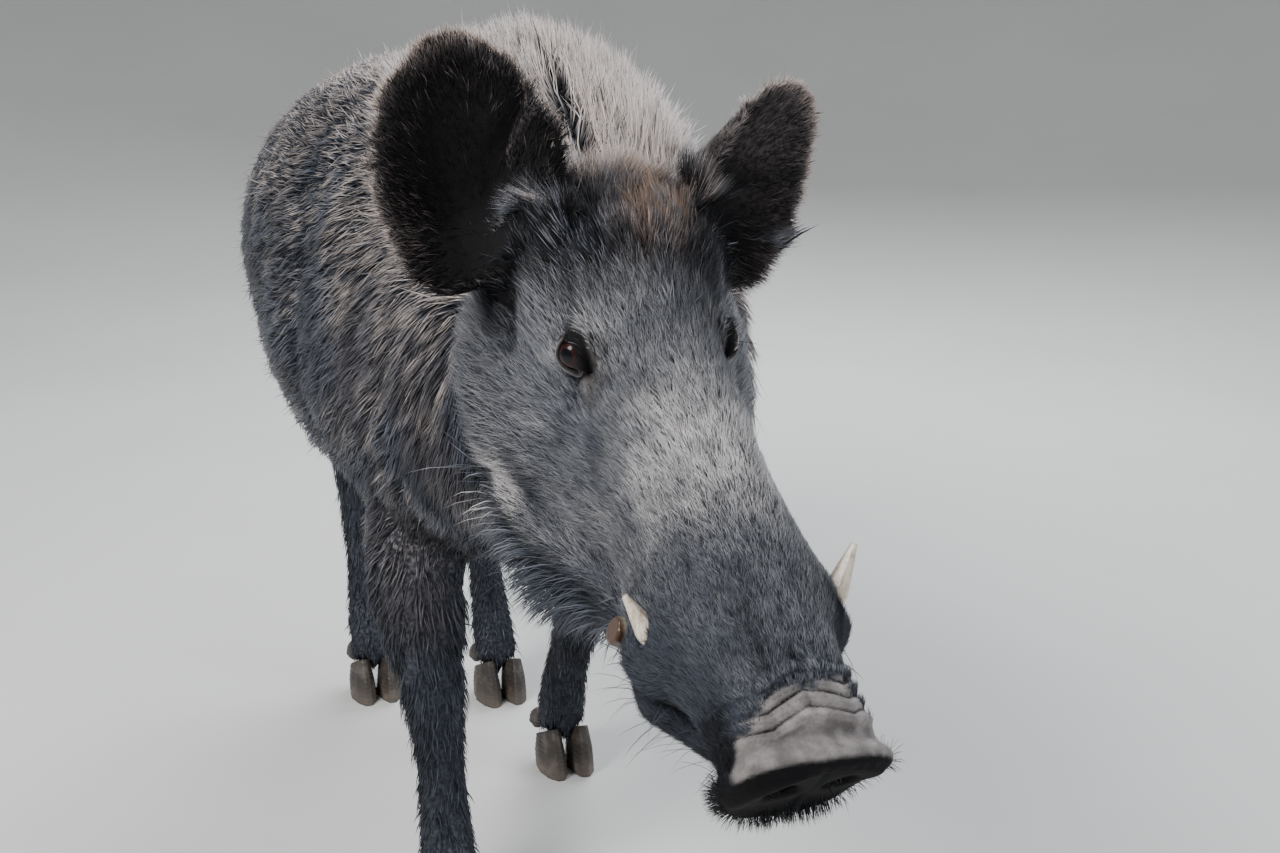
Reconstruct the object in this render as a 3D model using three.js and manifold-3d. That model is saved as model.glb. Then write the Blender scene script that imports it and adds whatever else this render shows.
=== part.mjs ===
// A wild boar, an adult male at life size, standing in mid-stride as a still model.
// Millimetres, +Z up. The boar faces -Y and its own left side is +X. The hooves stand on z = 0.
// The solids give the outline of the animal with its coat on, out to the tips of the bristles.
import * as THREE from 'three';
import { LoftGeometry } from 'three/addons/geometries/LoftGeometry.js';
import { mergeVertices } from 'three/addons/utils/BufferGeometryUtils.js';
import Module from 'manifold-3d';

// ---------------------------------------------------------------- driving sizes

const WITHERS = 885;         // height of the mane over the shoulders
const CHEST_FLOOR = 352;     // lowest line of the chest and belly
const TRUNK_HALF = 236;      // half the width of the ribs
const SHOULDER_Y = -245;     // fore legs hang from here
const HIP_Y = 350;           // hind legs hang from here
const GAP = 0.3;             // thin cut between two nodes

// The head turns about the point midway between the eyes.
const EYE_LINE = new THREE.Vector3(-41, -724, 669);
const HEAD_PITCH = 27.5;      // degrees, nose down
const HEAD_YAW = 4;          // degrees, towards the boar's left
const HEAD_ROLL = 0.5;        // degrees, left side raised
const EYE_RADIUS = 13.5;
const EYE_SIDE = 50;         // each eye's centre from the midline

const EAR_LENGTH = 154;
const EAR_HALF_WIDTH = 72;

// ---------------------------------------------------------------- materials

const coat = (hex) => new THREE.MeshStandardMaterial({ color: hex, roughness: 0.9, metalness: 0 });
const BRISTLE = coat(0x4b4643);
const MUZZLE = coat(0x5f5756);
const EAR_HAIR = coat(0x2a2523);
const LEG_HAIR = coat(0x26252a);
const NOSE = new THREE.MeshStandardMaterial({ color: 0x6e6260, roughness: 0.6, metalness: 0 });
const HORN = new THREE.MeshStandardMaterial({ color: 0x24201d, roughness: 0.45, metalness: 0 });
const IVORY = new THREE.MeshStandardMaterial({ color: 0xe0d3b8, roughness: 0.35, metalness: 0 });
const EYE = new THREE.MeshStandardMaterial({ color: 0x2a1410, roughness: 0.08, metalness: 0 });

// ---------------------------------------------------------------- solids

const wasm = await Module();
wasm.setup();

function toSolid(geometry) {
  const plain = new THREE.BufferGeometry().copy(geometry);
  plain.deleteAttribute('normal');
  plain.deleteAttribute('uv');
  const merged = mergeVertices(plain, 1e-3);
  const corners = [];
  for (let i = 0; i < merged.index.count; i += 3) {
    const [a, b, c] = [0, 1, 2].map((k) => merged.index.getX(i + k));
    if (a !== b && b !== c && c !== a) corners.push(a, b, c);
  }
  return new wasm.Manifold(new wasm.Mesh({
    numProp: 3,
    vertProperties: merged.attributes.position.array,
    triVerts: new Uint32Array(corners),
  }));
}

function toGeometry(solid) {
  const mesh = solid.getMesh();
  const points = new Float32Array(mesh.numVert * 3);
  for (let i = 0; i < mesh.numVert; i++) {
    points.set(mesh.vertProperties.subarray(i * mesh.numProp, i * mesh.numProp + 3), i * 3);
  }
  const geometry = new THREE.BufferGeometry();
  geometry.setAttribute('position', new THREE.BufferAttribute(points, 3));
  geometry.setIndex(new THREE.BufferAttribute(mesh.triVerts, 1));
  geometry.computeVertexNormals();
  return geometry;
}

// The one body that holds most of a solid, without any crumbs a cut has left beside it.
function largest(solid) {
  const bodies = solid.decompose();
  return bodies.reduce((best, body) => (body.volume() > best.volume() ? body : best));
}

// ---------------------------------------------------------------- lofts

// Catmull-Rom through one field of a list of keys. place runs from 0 to keys.length - 1.
function along(keys, field, place, fallback = 0) {
  const last = keys.length - 1;
  const i = Math.min(Math.floor(place), last - 1);
  const t = place - i;
  const at = (k) => keys[Math.max(0, Math.min(last, k))][field] ?? fallback;
  const [a, b, c, d] = [at(i - 1), at(i), at(i + 1), at(i + 2)];
  return 0.5 * (2 * b + (c - a) * t + (2 * a - 5 * b + 4 * c - d) * t * t
    + (3 * b - 3 * c + d - a) * t * t * t);
}

const signedPower = (value, power) => Math.sign(value) * Math.abs(value) ** power;

// A loft through keys of { x, y, z, wide, over, under }: half the width, and the reach to either
// side of the path. square is the super-ellipse power, taper narrows the over side, and crest adds
// a narrow ridge there. toOver is the direction that over is measured in.
function loft(keys, { toOver, perKey = 2, sides = 16, grow = 0, swell = null }) {
  const steps = (keys.length - 1) * perKey;
  const centre = (p) => new THREE.Vector3(along(keys, 'x', p), along(keys, 'y', p), along(keys, 'z', p));
  const sections = [];
  for (let s = 0; s <= steps; s++) {
    const place = s / perKey;
    const middle = centre(place);
    const ahead = centre(Math.min(place + 0.02, keys.length - 1));
    const tangent = ahead.sub(centre(Math.max(place - 0.02, 0))).normalize();
    const side = new THREE.Vector3().crossVectors(toOver, tangent).normalize();
    const over = new THREE.Vector3().crossVectors(tangent, side);
    const power = 2 / along(keys, 'square', place, 2.2);
    const taper = along(keys, 'taper', place);
    const crest = along(keys, 'crest', place);
    const size = { wide: 0, over: 0, under: 0 };
    for (const name of Object.keys(size)) size[name] = along(keys, name, place) + grow;
    const section = [];
    for (let j = 0; j < sides; j++) {
      const angle = (j / sides) * Math.PI * 2;
      const up = Math.sin(angle);
      const across = size.wide * signedPower(Math.cos(angle), power) * (1 - taper * up);
      const ridge = up > 0 ? crest * Math.exp(-((Math.cos(angle) / 0.3) ** 2)) : 0;
      const rise = (up > 0 ? size.over : size.under) * signedPower(up, power) + ridge;
      const point = middle.clone().addScaledVector(side, across).addScaledVector(over, rise);
      section.push(swell ? swell(point, middle) : point);
    }
    sections.push(section);
  }
  return toSolid(new LoftGeometry(sections, { capStart: true, capEnd: true }));
}

// Moves a point out from its section's middle near each of a list of bulges, on both sides.
// extra is added on the left.
function swellBy(bulges) {
  return (point, middle) => {
    let out = 0;
    for (const { side, ahead, up, radius, height, extra = 0 } of bulges) {
      const spot = new THREE.Vector3(Math.sign(point.x) * side, -ahead, up);
      const rise = height + (point.x > 0 ? extra : 0);
      out += rise * Math.exp(-point.distanceToSquared(spot) / (radius * radius));
    }
    return point.clone().addScaledVector(point.clone().sub(middle).normalize(), out);
  };
}

// Keys of the trunk and head are given by their top and bottom lines.
const fromLines = (keys) => keys.map(({ top, bottom, ...rest }) => ({
  ...rest, z: (top + bottom) / 2, over: (top - bottom) / 2, under: (top - bottom) / 2,
}));

const UP = new THREE.Vector3(0, 0, 1);
const FORWARD = new THREE.Vector3(0, -1, 0);
const mirrored = (solid) => solid.mirror([1, 0, 0]);

// ---------------------------------------------------------------- trunk, neck and tail

function torso(grow = 0) {
  const keys = fromLines([
    { y: 492, top: 690, bottom: 572, wide: 52 },
    { y: 476, top: 738, bottom: 512, wide: 120 },
    { y: 430, top: 782, bottom: 455, wide: 166 },
    { y: HIP_Y, top: 818, bottom: 410, wide: 206, taper: 0.04 },
    { y: 230, top: 836, bottom: 378, wide: 228, taper: 0.05, square: 2.3 },
    { y: 90, top: 849, bottom: 362, wide: TRUNK_HALF, taper: 0.06, square: 2.3 },
    { y: -50, top: 858, bottom: CHEST_FLOOR, wide: 230, taper: 0.08, square: 2.3 },
    { y: -180, top: 862, bottom: CHEST_FLOOR, wide: 212, taper: 0.14, crest: 6 },
    { y: SHOULDER_Y - 45, top: WITHERS - 20, bottom: 366, wide: 194, taper: 0.18, crest: 16 },
    { y: -400, x: -6, top: WITHERS - 44, bottom: 402, wide: 170, taper: 0.2, crest: 14 },
    { y: -485, x: -16, top: 801, bottom: 446, wide: 150, taper: 0.2, crest: 18 },
    { y: -560, x: -26, top: 773, bottom: 486, wide: 124, taper: 0.18, crest: 14 },
    { y: -625, x: -34, top: 756, bottom: 524, wide: 98, taper: 0.14, crest: 10 },
    { y: -672, x: -38, top: 744, bottom: 560, wide: 72 },
  ]);
  return loft(keys, { toOver: UP, perKey: 2, sides: 20, grow });
}

function tail() {
  const keys = [
    { y: 462, z: 715, wide: 20, over: 20, under: 20 },
    { y: 494, z: 705, wide: 17, over: 17, under: 17 },
    { y: 518, z: 650, wide: 13, over: 13, under: 13 },
    { y: 524, z: 570, wide: 11, over: 11, under: 11 },
    { y: 522, z: 490, wide: 15, over: 13, under: 13 },
    { y: 520, z: 430, wide: 13, over: 11, under: 11 },
    { y: 519, z: 395, wide: 4, over: 4, under: 4 },
  ];
  return loft(keys, { toOver: new THREE.Vector3(0, 1, 1), perKey: 1, sides: 8 });
}

// ---------------------------------------------------------------- head

// The head's own frame has its origin midway between the eyes, with the nose along -Y.
const headPlace = new THREE.Matrix4().compose(
  EYE_LINE,
  new THREE.Quaternion().setFromEuler(new THREE.Euler(
    THREE.MathUtils.degToRad(HEAD_PITCH),
    THREE.MathUtils.degToRad(-HEAD_ROLL),
    THREE.MathUtils.degToRad(HEAD_YAW),
    'ZXY',
  )),
  new THREE.Vector3(1, 1, 1),
);

const aheadToY = (keys) => keys.map(({ ahead, ...rest }) => ({ ...rest, y: -ahead }));

const FACE_BULGES = [
  { side: 62, ahead: -4, up: 27, radius: 20, height: 7 },      // brow ridge
  { side: 67, ahead: 3, up: 0, radius: 15, height: -5 },       // eye socket
  { side: 90, ahead: 8, up: -60, radius: 42, height: 3 },      // cheek bone
  { side: 96, ahead: -52, up: -118, radius: 60, height: 9 },   // jaw muscle
  { side: 58, ahead: 184, up: -80, radius: 33, height: 10, extra: 16 },  // lip over the tusk
];

function skull(grow = 0) {
  const keys = aheadToY(fromLines([
    { ahead: -150, top: 60, bottom: -112, wide: 74, taper: 0.1 },
    { ahead: -108, top: 84, bottom: -158, wide: 98, taper: 0.22 },
    { ahead: -66, top: 84, bottom: -180, wide: 93, taper: 0.24 },
    { ahead: -26, top: 69, bottom: -178, wide: 79, taper: 0.22 },
    { ahead: 14, top: 52, bottom: -158, wide: 63, taper: 0.14 },
    { ahead: 58, top: 36, bottom: -130, wide: 54, taper: 0.16, square: 2.4 },
    { ahead: 104, top: 21, bottom: -117, wide: 49, taper: 0.18, square: 2.5 },
    { ahead: 150, top: 7, bottom: -113, wide: 55, taper: 0.24, square: 2.5 },
    { ahead: 190, top: -5, bottom: -113, wide: 57, taper: 0.26, square: 2.5 },
    { ahead: 230, top: -18, bottom: -112, wide: 49, taper: 0.2, square: 2.5 },
    { ahead: 262, top: -29, bottom: -113, wide: 46, taper: 0.1, square: 2.5 },
    { ahead: 284, top: -37, bottom: -117, wide: 50, taper: 0.04, square: 2.3 },
    { ahead: 306, top: -45, bottom: -120, wide: 51, square: 2.1 },
  ]));
  return loft(keys, { toOver: UP, perKey: 2, sides: 20, grow, swell: swellBy(FACE_BULGES) });
}

const LIP_BULGES = [{ side: 46, ahead: 194, up: -120, radius: 30, height: 14 }];

function jaw() {
  const keys = aheadToY(fromLines([
    { ahead: -84, top: -110, bottom: -196, wide: 60 },
    { ahead: -40, top: -108, bottom: -228, wide: 78 },
    { ahead: 20, top: -108, bottom: -224, wide: 68 },
    { ahead: 80, top: -108, bottom: -186, wide: 52 },
    { ahead: 140, top: -107, bottom: -158, wide: 48 },
    { ahead: 170, top: -106, bottom: -154, wide: 50 },
    { ahead: 200, top: -106, bottom: -151, wide: 48 },
    { ahead: 222, top: -106, bottom: -148, wide: 37 },
    { ahead: 248, top: -108, bottom: -140, wide: 26 },
    { ahead: 258, top: -114, bottom: -132, wide: 12 },
  ]));
  return loft(keys, { toOver: UP, perKey: 1, sides: 14, swell: swellBy(LIP_BULGES) });
}

// The rooting disc: an oval plate at the nose's end, its upper rim the furthest forward.
const DISC_TILT = THREE.MathUtils.degToRad(14);
const DISC_ROLL = THREE.MathUtils.degToRad(12);     // its right side held higher
const DISC_MIDDLE = new THREE.Vector3(0, -294, -72);
const DISC_BACK = 9;

function noseDisc() {
  const half = { wide: 53, over: 24, under: 57 };
  const keys = [[-16, 0.84], [-8, 0.92], [0, 1], [8, 1], [14, 0.94], [17, 0.8]].map(([step, share]) => ({
    y: -step, z: 0, square: 2.5, wide: half.wide * share, over: half.over * share, under: half.under * share,
  }));
  const tilted = new THREE.Matrix4().makeRotationX(DISC_TILT)
    .multiply(new THREE.Matrix4().makeRotationY(DISC_ROLL))
    .setPosition(DISC_MIDDLE);
  const plate = loft(keys, { toOver: UP, perKey: 1, sides: 20 });
  const nostrils = [-1, 1].map((side) => {
    const hole = new THREE.SphereGeometry(1, 8, 6).scale(10, 15, 8).translate(side * 19, -22, -5);
    return toSolid(hole);
  });
  return plate.subtract(nostrils[0]).subtract(nostrils[1]).transform(tilted.elements);
}

// Each canine is a curved, three-sided blade. The lower one grows up past the lip, and the short
// upper one turns out behind it, where the two grind together. lean is how far the lower one's
// tip is flared outwards.
const TUSK_LEAN = { left: 9, right: -6 };

function lowerTusk(lean, grow = 0) {
  const keys = [
    { x: 24, y: -195, z: -132, wide: 9, over: 10, under: 10 },
    { x: 32, y: -198, z: -108, wide: 9, over: 11, under: 11 },
    { x: 45 + 0.3 * lean, y: -196, z: -86, wide: 9, over: 11, under: 9 },
    { x: 62 + 0.8 * lean, y: -183, z: -65 + 0.6 * lean, wide: 8, over: 10, under: 7 },
    { x: 75 + lean, y: -167, z: -46 + lean, wide: 2, over: 3, under: 2 },
  ];
  return loft(keys, { toOver: FORWARD, perKey: 1, sides: 8, grow });
}

function upperTusk(lean, grow = 0) {
  const keys = [
    { x: 32, y: -164, z: -96, wide: 9, over: 10, under: 10 },
    { x: 46, y: -164, z: -96, wide: 9, over: 10, under: 10 },
    { x: 61 + 0.4 * lean, y: -162, z: -95, wide: 10, over: 10, under: 10 },
    { x: 72 + 0.8 * lean, y: -160, z: -92, wide: 9, over: 9, under: 9 },
  ];
  return loft(keys, { toOver: FORWARD, perKey: 1, sides: 8, grow });
}

const eyeball = (lean, grow = 0) => toSolid(
  new THREE.SphereGeometry(EYE_RADIUS + grow, 10, 8).translate(EYE_SIDE, -3, 0),
);

// The ear is a leaf rolled into a cup, and each is held its own way: the right one pricked with
// its hollow to the front, the left one swung out and back. x is outwards on both.
const EARS = {
  right: { base: [93, 64, 32], axis: [0.16, 0.6, 0.78], opens: [0.45, -0.62, 0.6] },
  left: { base: [74, 74, 26], axis: [0.84, 0.68, 0.44], opens: [0.5, -0.84, 0.25] },
};

function ear({ base, axis, opens }) {
  const up = new THREE.Vector3(...axis).normalize();
  const front = new THREE.Vector3(...opens);
  front.addScaledVector(up, -front.dot(up)).normalize();
  const across = new THREE.Vector3().crossVectors(up, front);
  const keys = [
    { at: -0.16, half: 0.5, cup: 30, thick: 14 },
    { at: 0, half: 0.76, cup: 44, thick: 14 },
    { at: 0.15, half: 0.93, cup: 48, thick: 12 },
    { at: 0.32, half: 1, cup: 44, thick: 11 },
    { at: 0.5, half: 0.98, cup: 34, thick: 11 },
    { at: 0.66, half: 0.88, cup: 22, thick: 10 },
    { at: 0.81, half: 0.69, cup: 12, thick: 9 },
    { at: 0.92, half: 0.44, cup: 5, thick: 8 },
    { at: 0.985, half: 0.2, cup: 1, thick: 7 },
  ];
  const columns = 7;
  const sections = [];
  for (const { at, half, cup, thick } of keys) {
    const middle = new THREE.Vector3(...base).addScaledVector(up, at * EAR_LENGTH);
    const spot = (u, lift) => middle.clone()
      .addScaledVector(across, u * half * EAR_HALF_WIDTH)
      .addScaledVector(front, cup * (u * u - 0.6) + lift);
    const section = [];
    for (let j = 0; j < columns; j++) section.push(spot(1 - 2 * (j / (columns - 1)), -thick / 2));
    for (let j = 1; j < columns - 1; j++) section.push(spot(2 * (j / (columns - 1)) - 1, thick / 2));
    sections.push(section);
  }
  return toSolid(new LoftGeometry(sections, { capStart: true, capEnd: true }));
}

// ---------------------------------------------------------------- legs and feet

// How far forward of its rest place each hoof is set, and how much of that each joint takes.
const STRIDE = { fore_right: 58, fore_left: -245, hind_right: 130, hind_left: 190 };
const share = (amount, stride) => amount * stride;

function foreLeg(stride, grow = 0) {
  const y = (offset, part) => SHOULDER_Y + offset - share(part, stride);
  const keys = [
    { x: 92, y: y(-10, 0), z: 690, wide: 50, over: 70, under: 90 },
    { x: 102, y: y(-5, 0), z: 590, wide: 64, over: 92, under: 104 },
    { x: 111, y: y(6, 0.1), z: 490, wide: 66, over: 84, under: 110 },
    { x: 114, y: y(14, 0.28), z: 405, wide: 60, over: 62, under: 108 },
    { x: 112, y: y(8, 0.46), z: 320, wide: 51, over: 48, under: 84 },
    { x: 106, y: y(0, 0.66), z: 232, wide: 36, over: 38, under: 44 },
    { x: 103, y: y(4, 0.8), z: 165, wide: 30, over: 30, under: 34 },
    { x: 101, y: y(6, 0.92), z: 98, wide: 31, over: 31, under: 38 },
    { x: 101, y: y(-6, 1), z: 50, wide: 32, over: 30, under: 34 },
    { x: 101, y: y(-14, 1), z: 26, wide: 28, over: 24, under: 30 },
  ];
  return loft(keys, { toOver: FORWARD, perKey: 1, sides: 11, grow });
}

function hindLeg(stride, grow = 0) {
  const y = (offset, part) => HIP_Y + offset - share(part, stride);
  const keys = [
    { x: 84, y: y(-10, 0), z: 700, wide: 56, over: 110, under: 100 },
    { x: 94, y: y(-5, 0.05), z: 600, wide: 72, over: 132, under: 128 },
    { x: 98, y: y(-4, 0.15), z: 500, wide: 66, over: 112, under: 112 },
    { x: 92, y: y(18, 0.32), z: 412, wide: 50, over: 76, under: 76 },
    { x: 82, y: y(62, 0.5), z: 335, wide: 36, over: 50, under: 46 },
    { x: 78, y: y(92, 0.66), z: 268, wide: 30, over: 36, under: 36 },
    { x: 77, y: y(84, 0.78), z: 190, wide: 27, over: 29, under: 31 },
    { x: 77, y: y(72, 0.92), z: 100, wide: 30, over: 30, under: 37 },
    { x: 77, y: y(56, 1), z: 50, wide: 32, over: 30, under: 34 },
    { x: 77, y: y(48, 1), z: 26, wide: 28, over: 24, under: 30 },
  ];
  return loft(keys, { toOver: FORWARD, perKey: 1, sides: 11, grow });
}

// A claw stands on a flat sole, pointed in front and round at the heel.
function claw({ length, width, height, slope, lean, sides, grow = 0 }) {
  const ring = (scale, z, shift) => Array.from({ length: sides }, (_, j) => {
    const angle = (j / sides) * Math.PI * 2;
    const front = Math.max(0, -Math.sin(angle));
    return new THREE.Vector3(
      Math.cos(angle) * (width / 2 * scale + grow) * (1 - 0.25 * front * front),
      Math.sin(angle) * (length / 2 * scale + grow) + shift,
      z - slope * z * Math.sin(angle) + grow * Math.sign(z),
    );
  });
  const rows = [[1, 0, 0], [0.95, 0.5, 0.4], [0.72, 1, 1]];
  return toSolid(new LoftGeometry(
    rows.map(([scale, rise, back]) => ring(scale, rise * height, back * lean)),
    { capStart: true, capEnd: true },
  ));
}

const hoofClaw = (grow) => claw({ length: 72, width: 33, height: 44, slope: 0.3, lean: 13, sides: 10, grow });
const dewClaw = (grow) => claw({ length: 26, width: 18, height: 30, slope: 0.2, lean: -8, sides: 8, grow });

// The four claws of one foot, by name, at the foot's place on the ground.
function claws(x, y, grow = 0) {
  const inner = Math.sign(x) > 0 ? -1 : 1;
  return {
    claw_inner: hoofClaw(grow).rotate([0, 0, -4 * inner]).translate([x + inner * 17.5, y - 12, 0]),
    claw_outer: hoofClaw(grow).rotate([0, 0, 4 * inner]).translate([x - inner * 17.5, y - 12, 0]),
    dewclaw_inner: dewClaw(grow).rotate([24, 0, 0]).translate([x + inner * 21, y + 45, 38]),
    dewclaw_outer: dewClaw(grow).rotate([24, 0, 0]).translate([x - inner * 21, y + 45, 38]),
  };
}

// ---------------------------------------------------------------- parting the whole animal

const pieces = new Map();
const keep = (name, solid, material) => pieces.set(name, { solid: largest(solid), material });

const HUGE = 2000;

// A half space as a large block: everything on the side that normal points to.
function beyond(point, normal, shift = 0) {
  const block = new THREE.BoxGeometry(HUGE, HUGE, HUGE).translate(0, 0, HUGE / 2 + shift);
  const turn = new THREE.Quaternion().setFromUnitVectors(UP, normal.clone().normalize());
  block.applyQuaternion(turn).translate(point.x, point.y, point.z);
  return toSolid(block);
}

const box = (low, high) => toSolid(new THREE.BoxGeometry(high[0] - low[0], high[1] - low[1], high[2] - low[2])
  .translate((low[0] + high[0]) / 2, (low[1] + high[1]) / 2, (low[2] + high[2]) / 2));

const inBody = (solid) => solid.transform(headPlace.elements);
const headPoint = (x, ahead, z) => new THREE.Vector3(x, -ahead, z).applyMatrix4(headPlace);
const headAlong = (x, ahead, z) => new THREE.Vector3(x, -ahead, z).transformDirection(headPlace);

let rest = torso();

// Takes what lies in cutter off the rest of the animal, and leaves a thin gap beside it.
function part(name, cutter, wider, material) {
  keep(name, rest.intersect(cutter), material);
  rest = rest.subtract(wider);
}

// Feet first, because the legs are cut back from their claws.
const LEGS = {
  fore: { shape: foreLeg, rootY: SHOULDER_Y, clawX: 101, clawY: -12, joint: 232 },
  hind: { shape: hindLeg, rootY: HIP_Y, clawX: 77, clawY: 48, joint: 268 },
};
const limbs = [];
for (const [end, { shape, rootY, clawX, clawY, joint }] of Object.entries(LEGS)) {
  for (const [sideName, side] of [['right', -1], ['left', 1]]) {
    const stride = STRIDE[`${end}_${sideName}`];
    const sided = (solid) => (side < 0 ? mirrored(solid) : solid);
    const place = [side * clawX, rootY + clawY - stride];
    let limb = sided(shape(stride));
    const wide = claws(...place, GAP);
    for (const [clawName, solid] of Object.entries(claws(...place))) {
      keep(`${end}_${sideName}_${clawName}`, solid, HORN);
      limb = limb.subtract(wide[clawName]);
    }
    rest = rest.add(largest(limb));
    limbs.push({ end, sideName, side, joint, around: (grow) => sided(shape(stride, grow)) });
  }
}

// Each leg is parted from the trunk by a slanting cut through the arm or thigh, and again at the
// knee or hock.
const LEG_CUTS = {
  fore: { inner: [40, CHEST_FLOOR + 6], outer: [168, 478], low: -520, high: 96 },
  hind: { inner: [30, 432], outer: [168, 560], low: 96, high: 640 },
};
const BELOW_BELLY = 330;
for (const { end, sideName, side, joint, around } of limbs) {
  const { inner, outer, low, high } = LEG_CUTS[end];
  const down = new THREE.Vector3(side * (outer[1] - inner[1]), 0, inner[0] - outer[0]);
  const place = new THREE.Vector3(side * inner[0], 0, inner[1]);
  const zone = (gap) => around(5 + gap)
    .intersect(beyond(place, down, -gap))
    .add(box([side > 0 ? 2 : -400, low, -10], [side > 0 ? 400 : -2, high, BELOW_BELLY + gap]));
  const leg = largest(rest.intersect(zone(0)));
  rest = largest(rest.subtract(zone(GAP)));
  const level = new THREE.Vector3(0, 0, joint);
  keep(`${end}_leg_${sideName}_upper`, leg.intersect(beyond(level, UP)), LEG_HAIR);
  keep(`${end}_leg_${sideName}_lower`, leg.subtract(beyond(level, UP, -GAP)), LEG_HAIR);
}

// The tail leaves the trunk behind the hips.
keep('tail', tail().subtract(torso(GAP)), LEG_HAIR);

// The head is joined to the neck, parted behind the ears, and parted again into its own pieces.
const sidedParts = {};
let head = skull().add(jaw());
for (const [name, make] of Object.entries({ tusk_lower: lowerTusk, tusk_upper: upperTusk, eye: eyeball })) {
  for (const [sideName, lean] of Object.entries(TUSK_LEAN)) {
    const sided = (solid) => (sideName === 'right' ? mirrored(solid) : solid);
    head = head.subtract(sided(make(lean, GAP)));
    sidedParts[`${name}_${sideName}`] = sided(make(lean));
  }
}
const disc = noseDisc();
rest = rest.add(inBody(head));

const nape = (shift) => beyond(headPoint(0, -112, 0), headAlong(0, 1, 0.12), shift);
const whole = largest(rest.intersect(nape(0)));
rest = rest.subtract(nape(-GAP));
const mouth = (gap) => inBody(box([-90, -280, -240], [90, gap - 96, gap - 112.5]));
const noseAxis = new THREE.Vector3(0, -Math.cos(DISC_TILT), -Math.sin(DISC_TILT));
const discBack = DISC_MIDDLE.clone().addScaledVector(noseAxis, -DISC_BACK).applyMatrix4(headPlace);
noseAxis.transformDirection(headPlace);
const nose = (shift) => beyond(discBack, noseAxis, shift);
keep('lower_jaw', whole.intersect(mouth(0)).subtract(nose(-GAP)), MUZZLE);
const upper = whole.subtract(mouth(0.8)).subtract(nose(-GAP));
keep('head', upper, MUZZLE);
keep('snout_disc', inBody(disc).intersect(nose(0)), NOSE);

for (const [sideName, shape] of Object.entries(EARS)) {
  const place = inBody(sideName === 'left' ? ear(shape) : mirrored(ear(shape)));
  keep(`ear_${sideName}`, place.subtract(inBody(skull(GAP))).subtract(torso(GAP)), EAR_HAIR);
}
for (const [name, solid] of Object.entries(sidedParts)) {
  keep(name, inBody(solid), name.startsWith('eye') ? EYE : IVORY);
}

// The neck ends on a slanting plane in front of the shoulders.
const collar = (shift) => beyond(new THREE.Vector3(0, -432, 620), new THREE.Vector3(0, -1, 0.28), shift);
part('neck', collar(0), collar(-GAP), BRISTLE);
keep('trunk', rest, BRISTLE);

// ---------------------------------------------------------------- the scene graph

const boar = new THREE.Group();
for (const [name, { solid, material }] of pieces) {
  const mesh = new THREE.Mesh(toGeometry(solid), material);
  mesh.name = name;
  boar.add(mesh);
}

// The origin is the middle of the model's own box, on the ground.
const bounds = new THREE.Box3().setFromObject(boar);
boar.position.set(-(bounds.min.x + bounds.max.x) / 2, -(bounds.min.y + bounds.max.y) / 2, -bounds.min.z);

export default boar;
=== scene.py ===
"""A wild boar at life size: its skin, coat, eyes, tusks and hooves, on a plain studio floor."""

import math
from itertools import product

import bmesh
import bpy
import numpy as np
from mathutils import Matrix, Vector
from mathutils.bvhtree import BVHTree


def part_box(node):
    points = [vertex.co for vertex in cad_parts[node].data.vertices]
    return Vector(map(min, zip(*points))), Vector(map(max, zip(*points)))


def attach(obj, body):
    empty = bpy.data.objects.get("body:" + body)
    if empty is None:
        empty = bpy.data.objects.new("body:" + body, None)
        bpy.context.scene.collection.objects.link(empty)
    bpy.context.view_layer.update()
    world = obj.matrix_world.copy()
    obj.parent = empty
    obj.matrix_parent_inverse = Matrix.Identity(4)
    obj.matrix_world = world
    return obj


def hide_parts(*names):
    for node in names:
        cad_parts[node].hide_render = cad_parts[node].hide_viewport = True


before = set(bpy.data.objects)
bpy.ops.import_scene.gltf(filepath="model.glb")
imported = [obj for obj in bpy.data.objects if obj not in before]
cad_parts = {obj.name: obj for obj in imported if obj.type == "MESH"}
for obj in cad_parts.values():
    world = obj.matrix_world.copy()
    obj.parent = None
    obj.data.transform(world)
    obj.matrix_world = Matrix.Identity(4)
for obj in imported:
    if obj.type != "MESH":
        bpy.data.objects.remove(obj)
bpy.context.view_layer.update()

bl_info = {
    "name": "Wild boar",
    "version": (1, 0, 0),
    "blender": (4, 5, 0),
    "location": "3D View > Sidebar > Wild boar",
    "description": "Builds the skin, coat and horn of a life-size wild boar on its frame",
    "category": "Object",
}

MM = 0.001
PRIMES = (73856093, 19349663, 83492791)    # they mix up the numbers of a cell of space

LEGS = ("fore_right", "fore_left", "hind_right", "hind_left")
LEG_NODES = [
    f"{end}_leg_{side}_{part}"
    for end, side in (leg.split("_") for leg in LEGS)
    for part in ("upper", "lower")
]
FLESH = ["head", "lower_jaw", "snout_disc", "neck", "trunk", "tail", "ear_left", "ear_right"] + LEG_NODES
HORN_PARTS = ("claw_inner", "claw_outer", "dewclaw_inner", "dewclaw_outer")
TUSKS = ("tusk_lower_left", "tusk_lower_right", "tusk_upper_left", "tusk_upper_right")

# The head is held nose down, turned and tipped a little to its left.
HEAD_PITCH = math.radians(27.5)
HEAD_YAW = math.radians(4)
HEAD_ROLL = math.radians(0.5)
EYE_AHEAD = 3 * MM       # the eyes' centres lie this far in front of the head's origin


# ---------------------------------------------------------------- small tools

def smooth(low, high, value):
    """0 below low, 1 above high, and a soft step between. low may be the larger."""
    t = np.clip((value - low) / (high - low), 0, 1)
    return t * t * (3 - 2 * t)


def bell(value, middle, width):
    """A soft bump of height 1 at middle."""
    return np.exp(-(((value - middle) / width) ** 2))


def unit(vectors):
    return vectors / np.maximum(np.linalg.norm(vectors, axis=-1, keepdims=True), 1e-9)


def dot(a, b):
    return np.sum(a * b, axis=-1)


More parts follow.
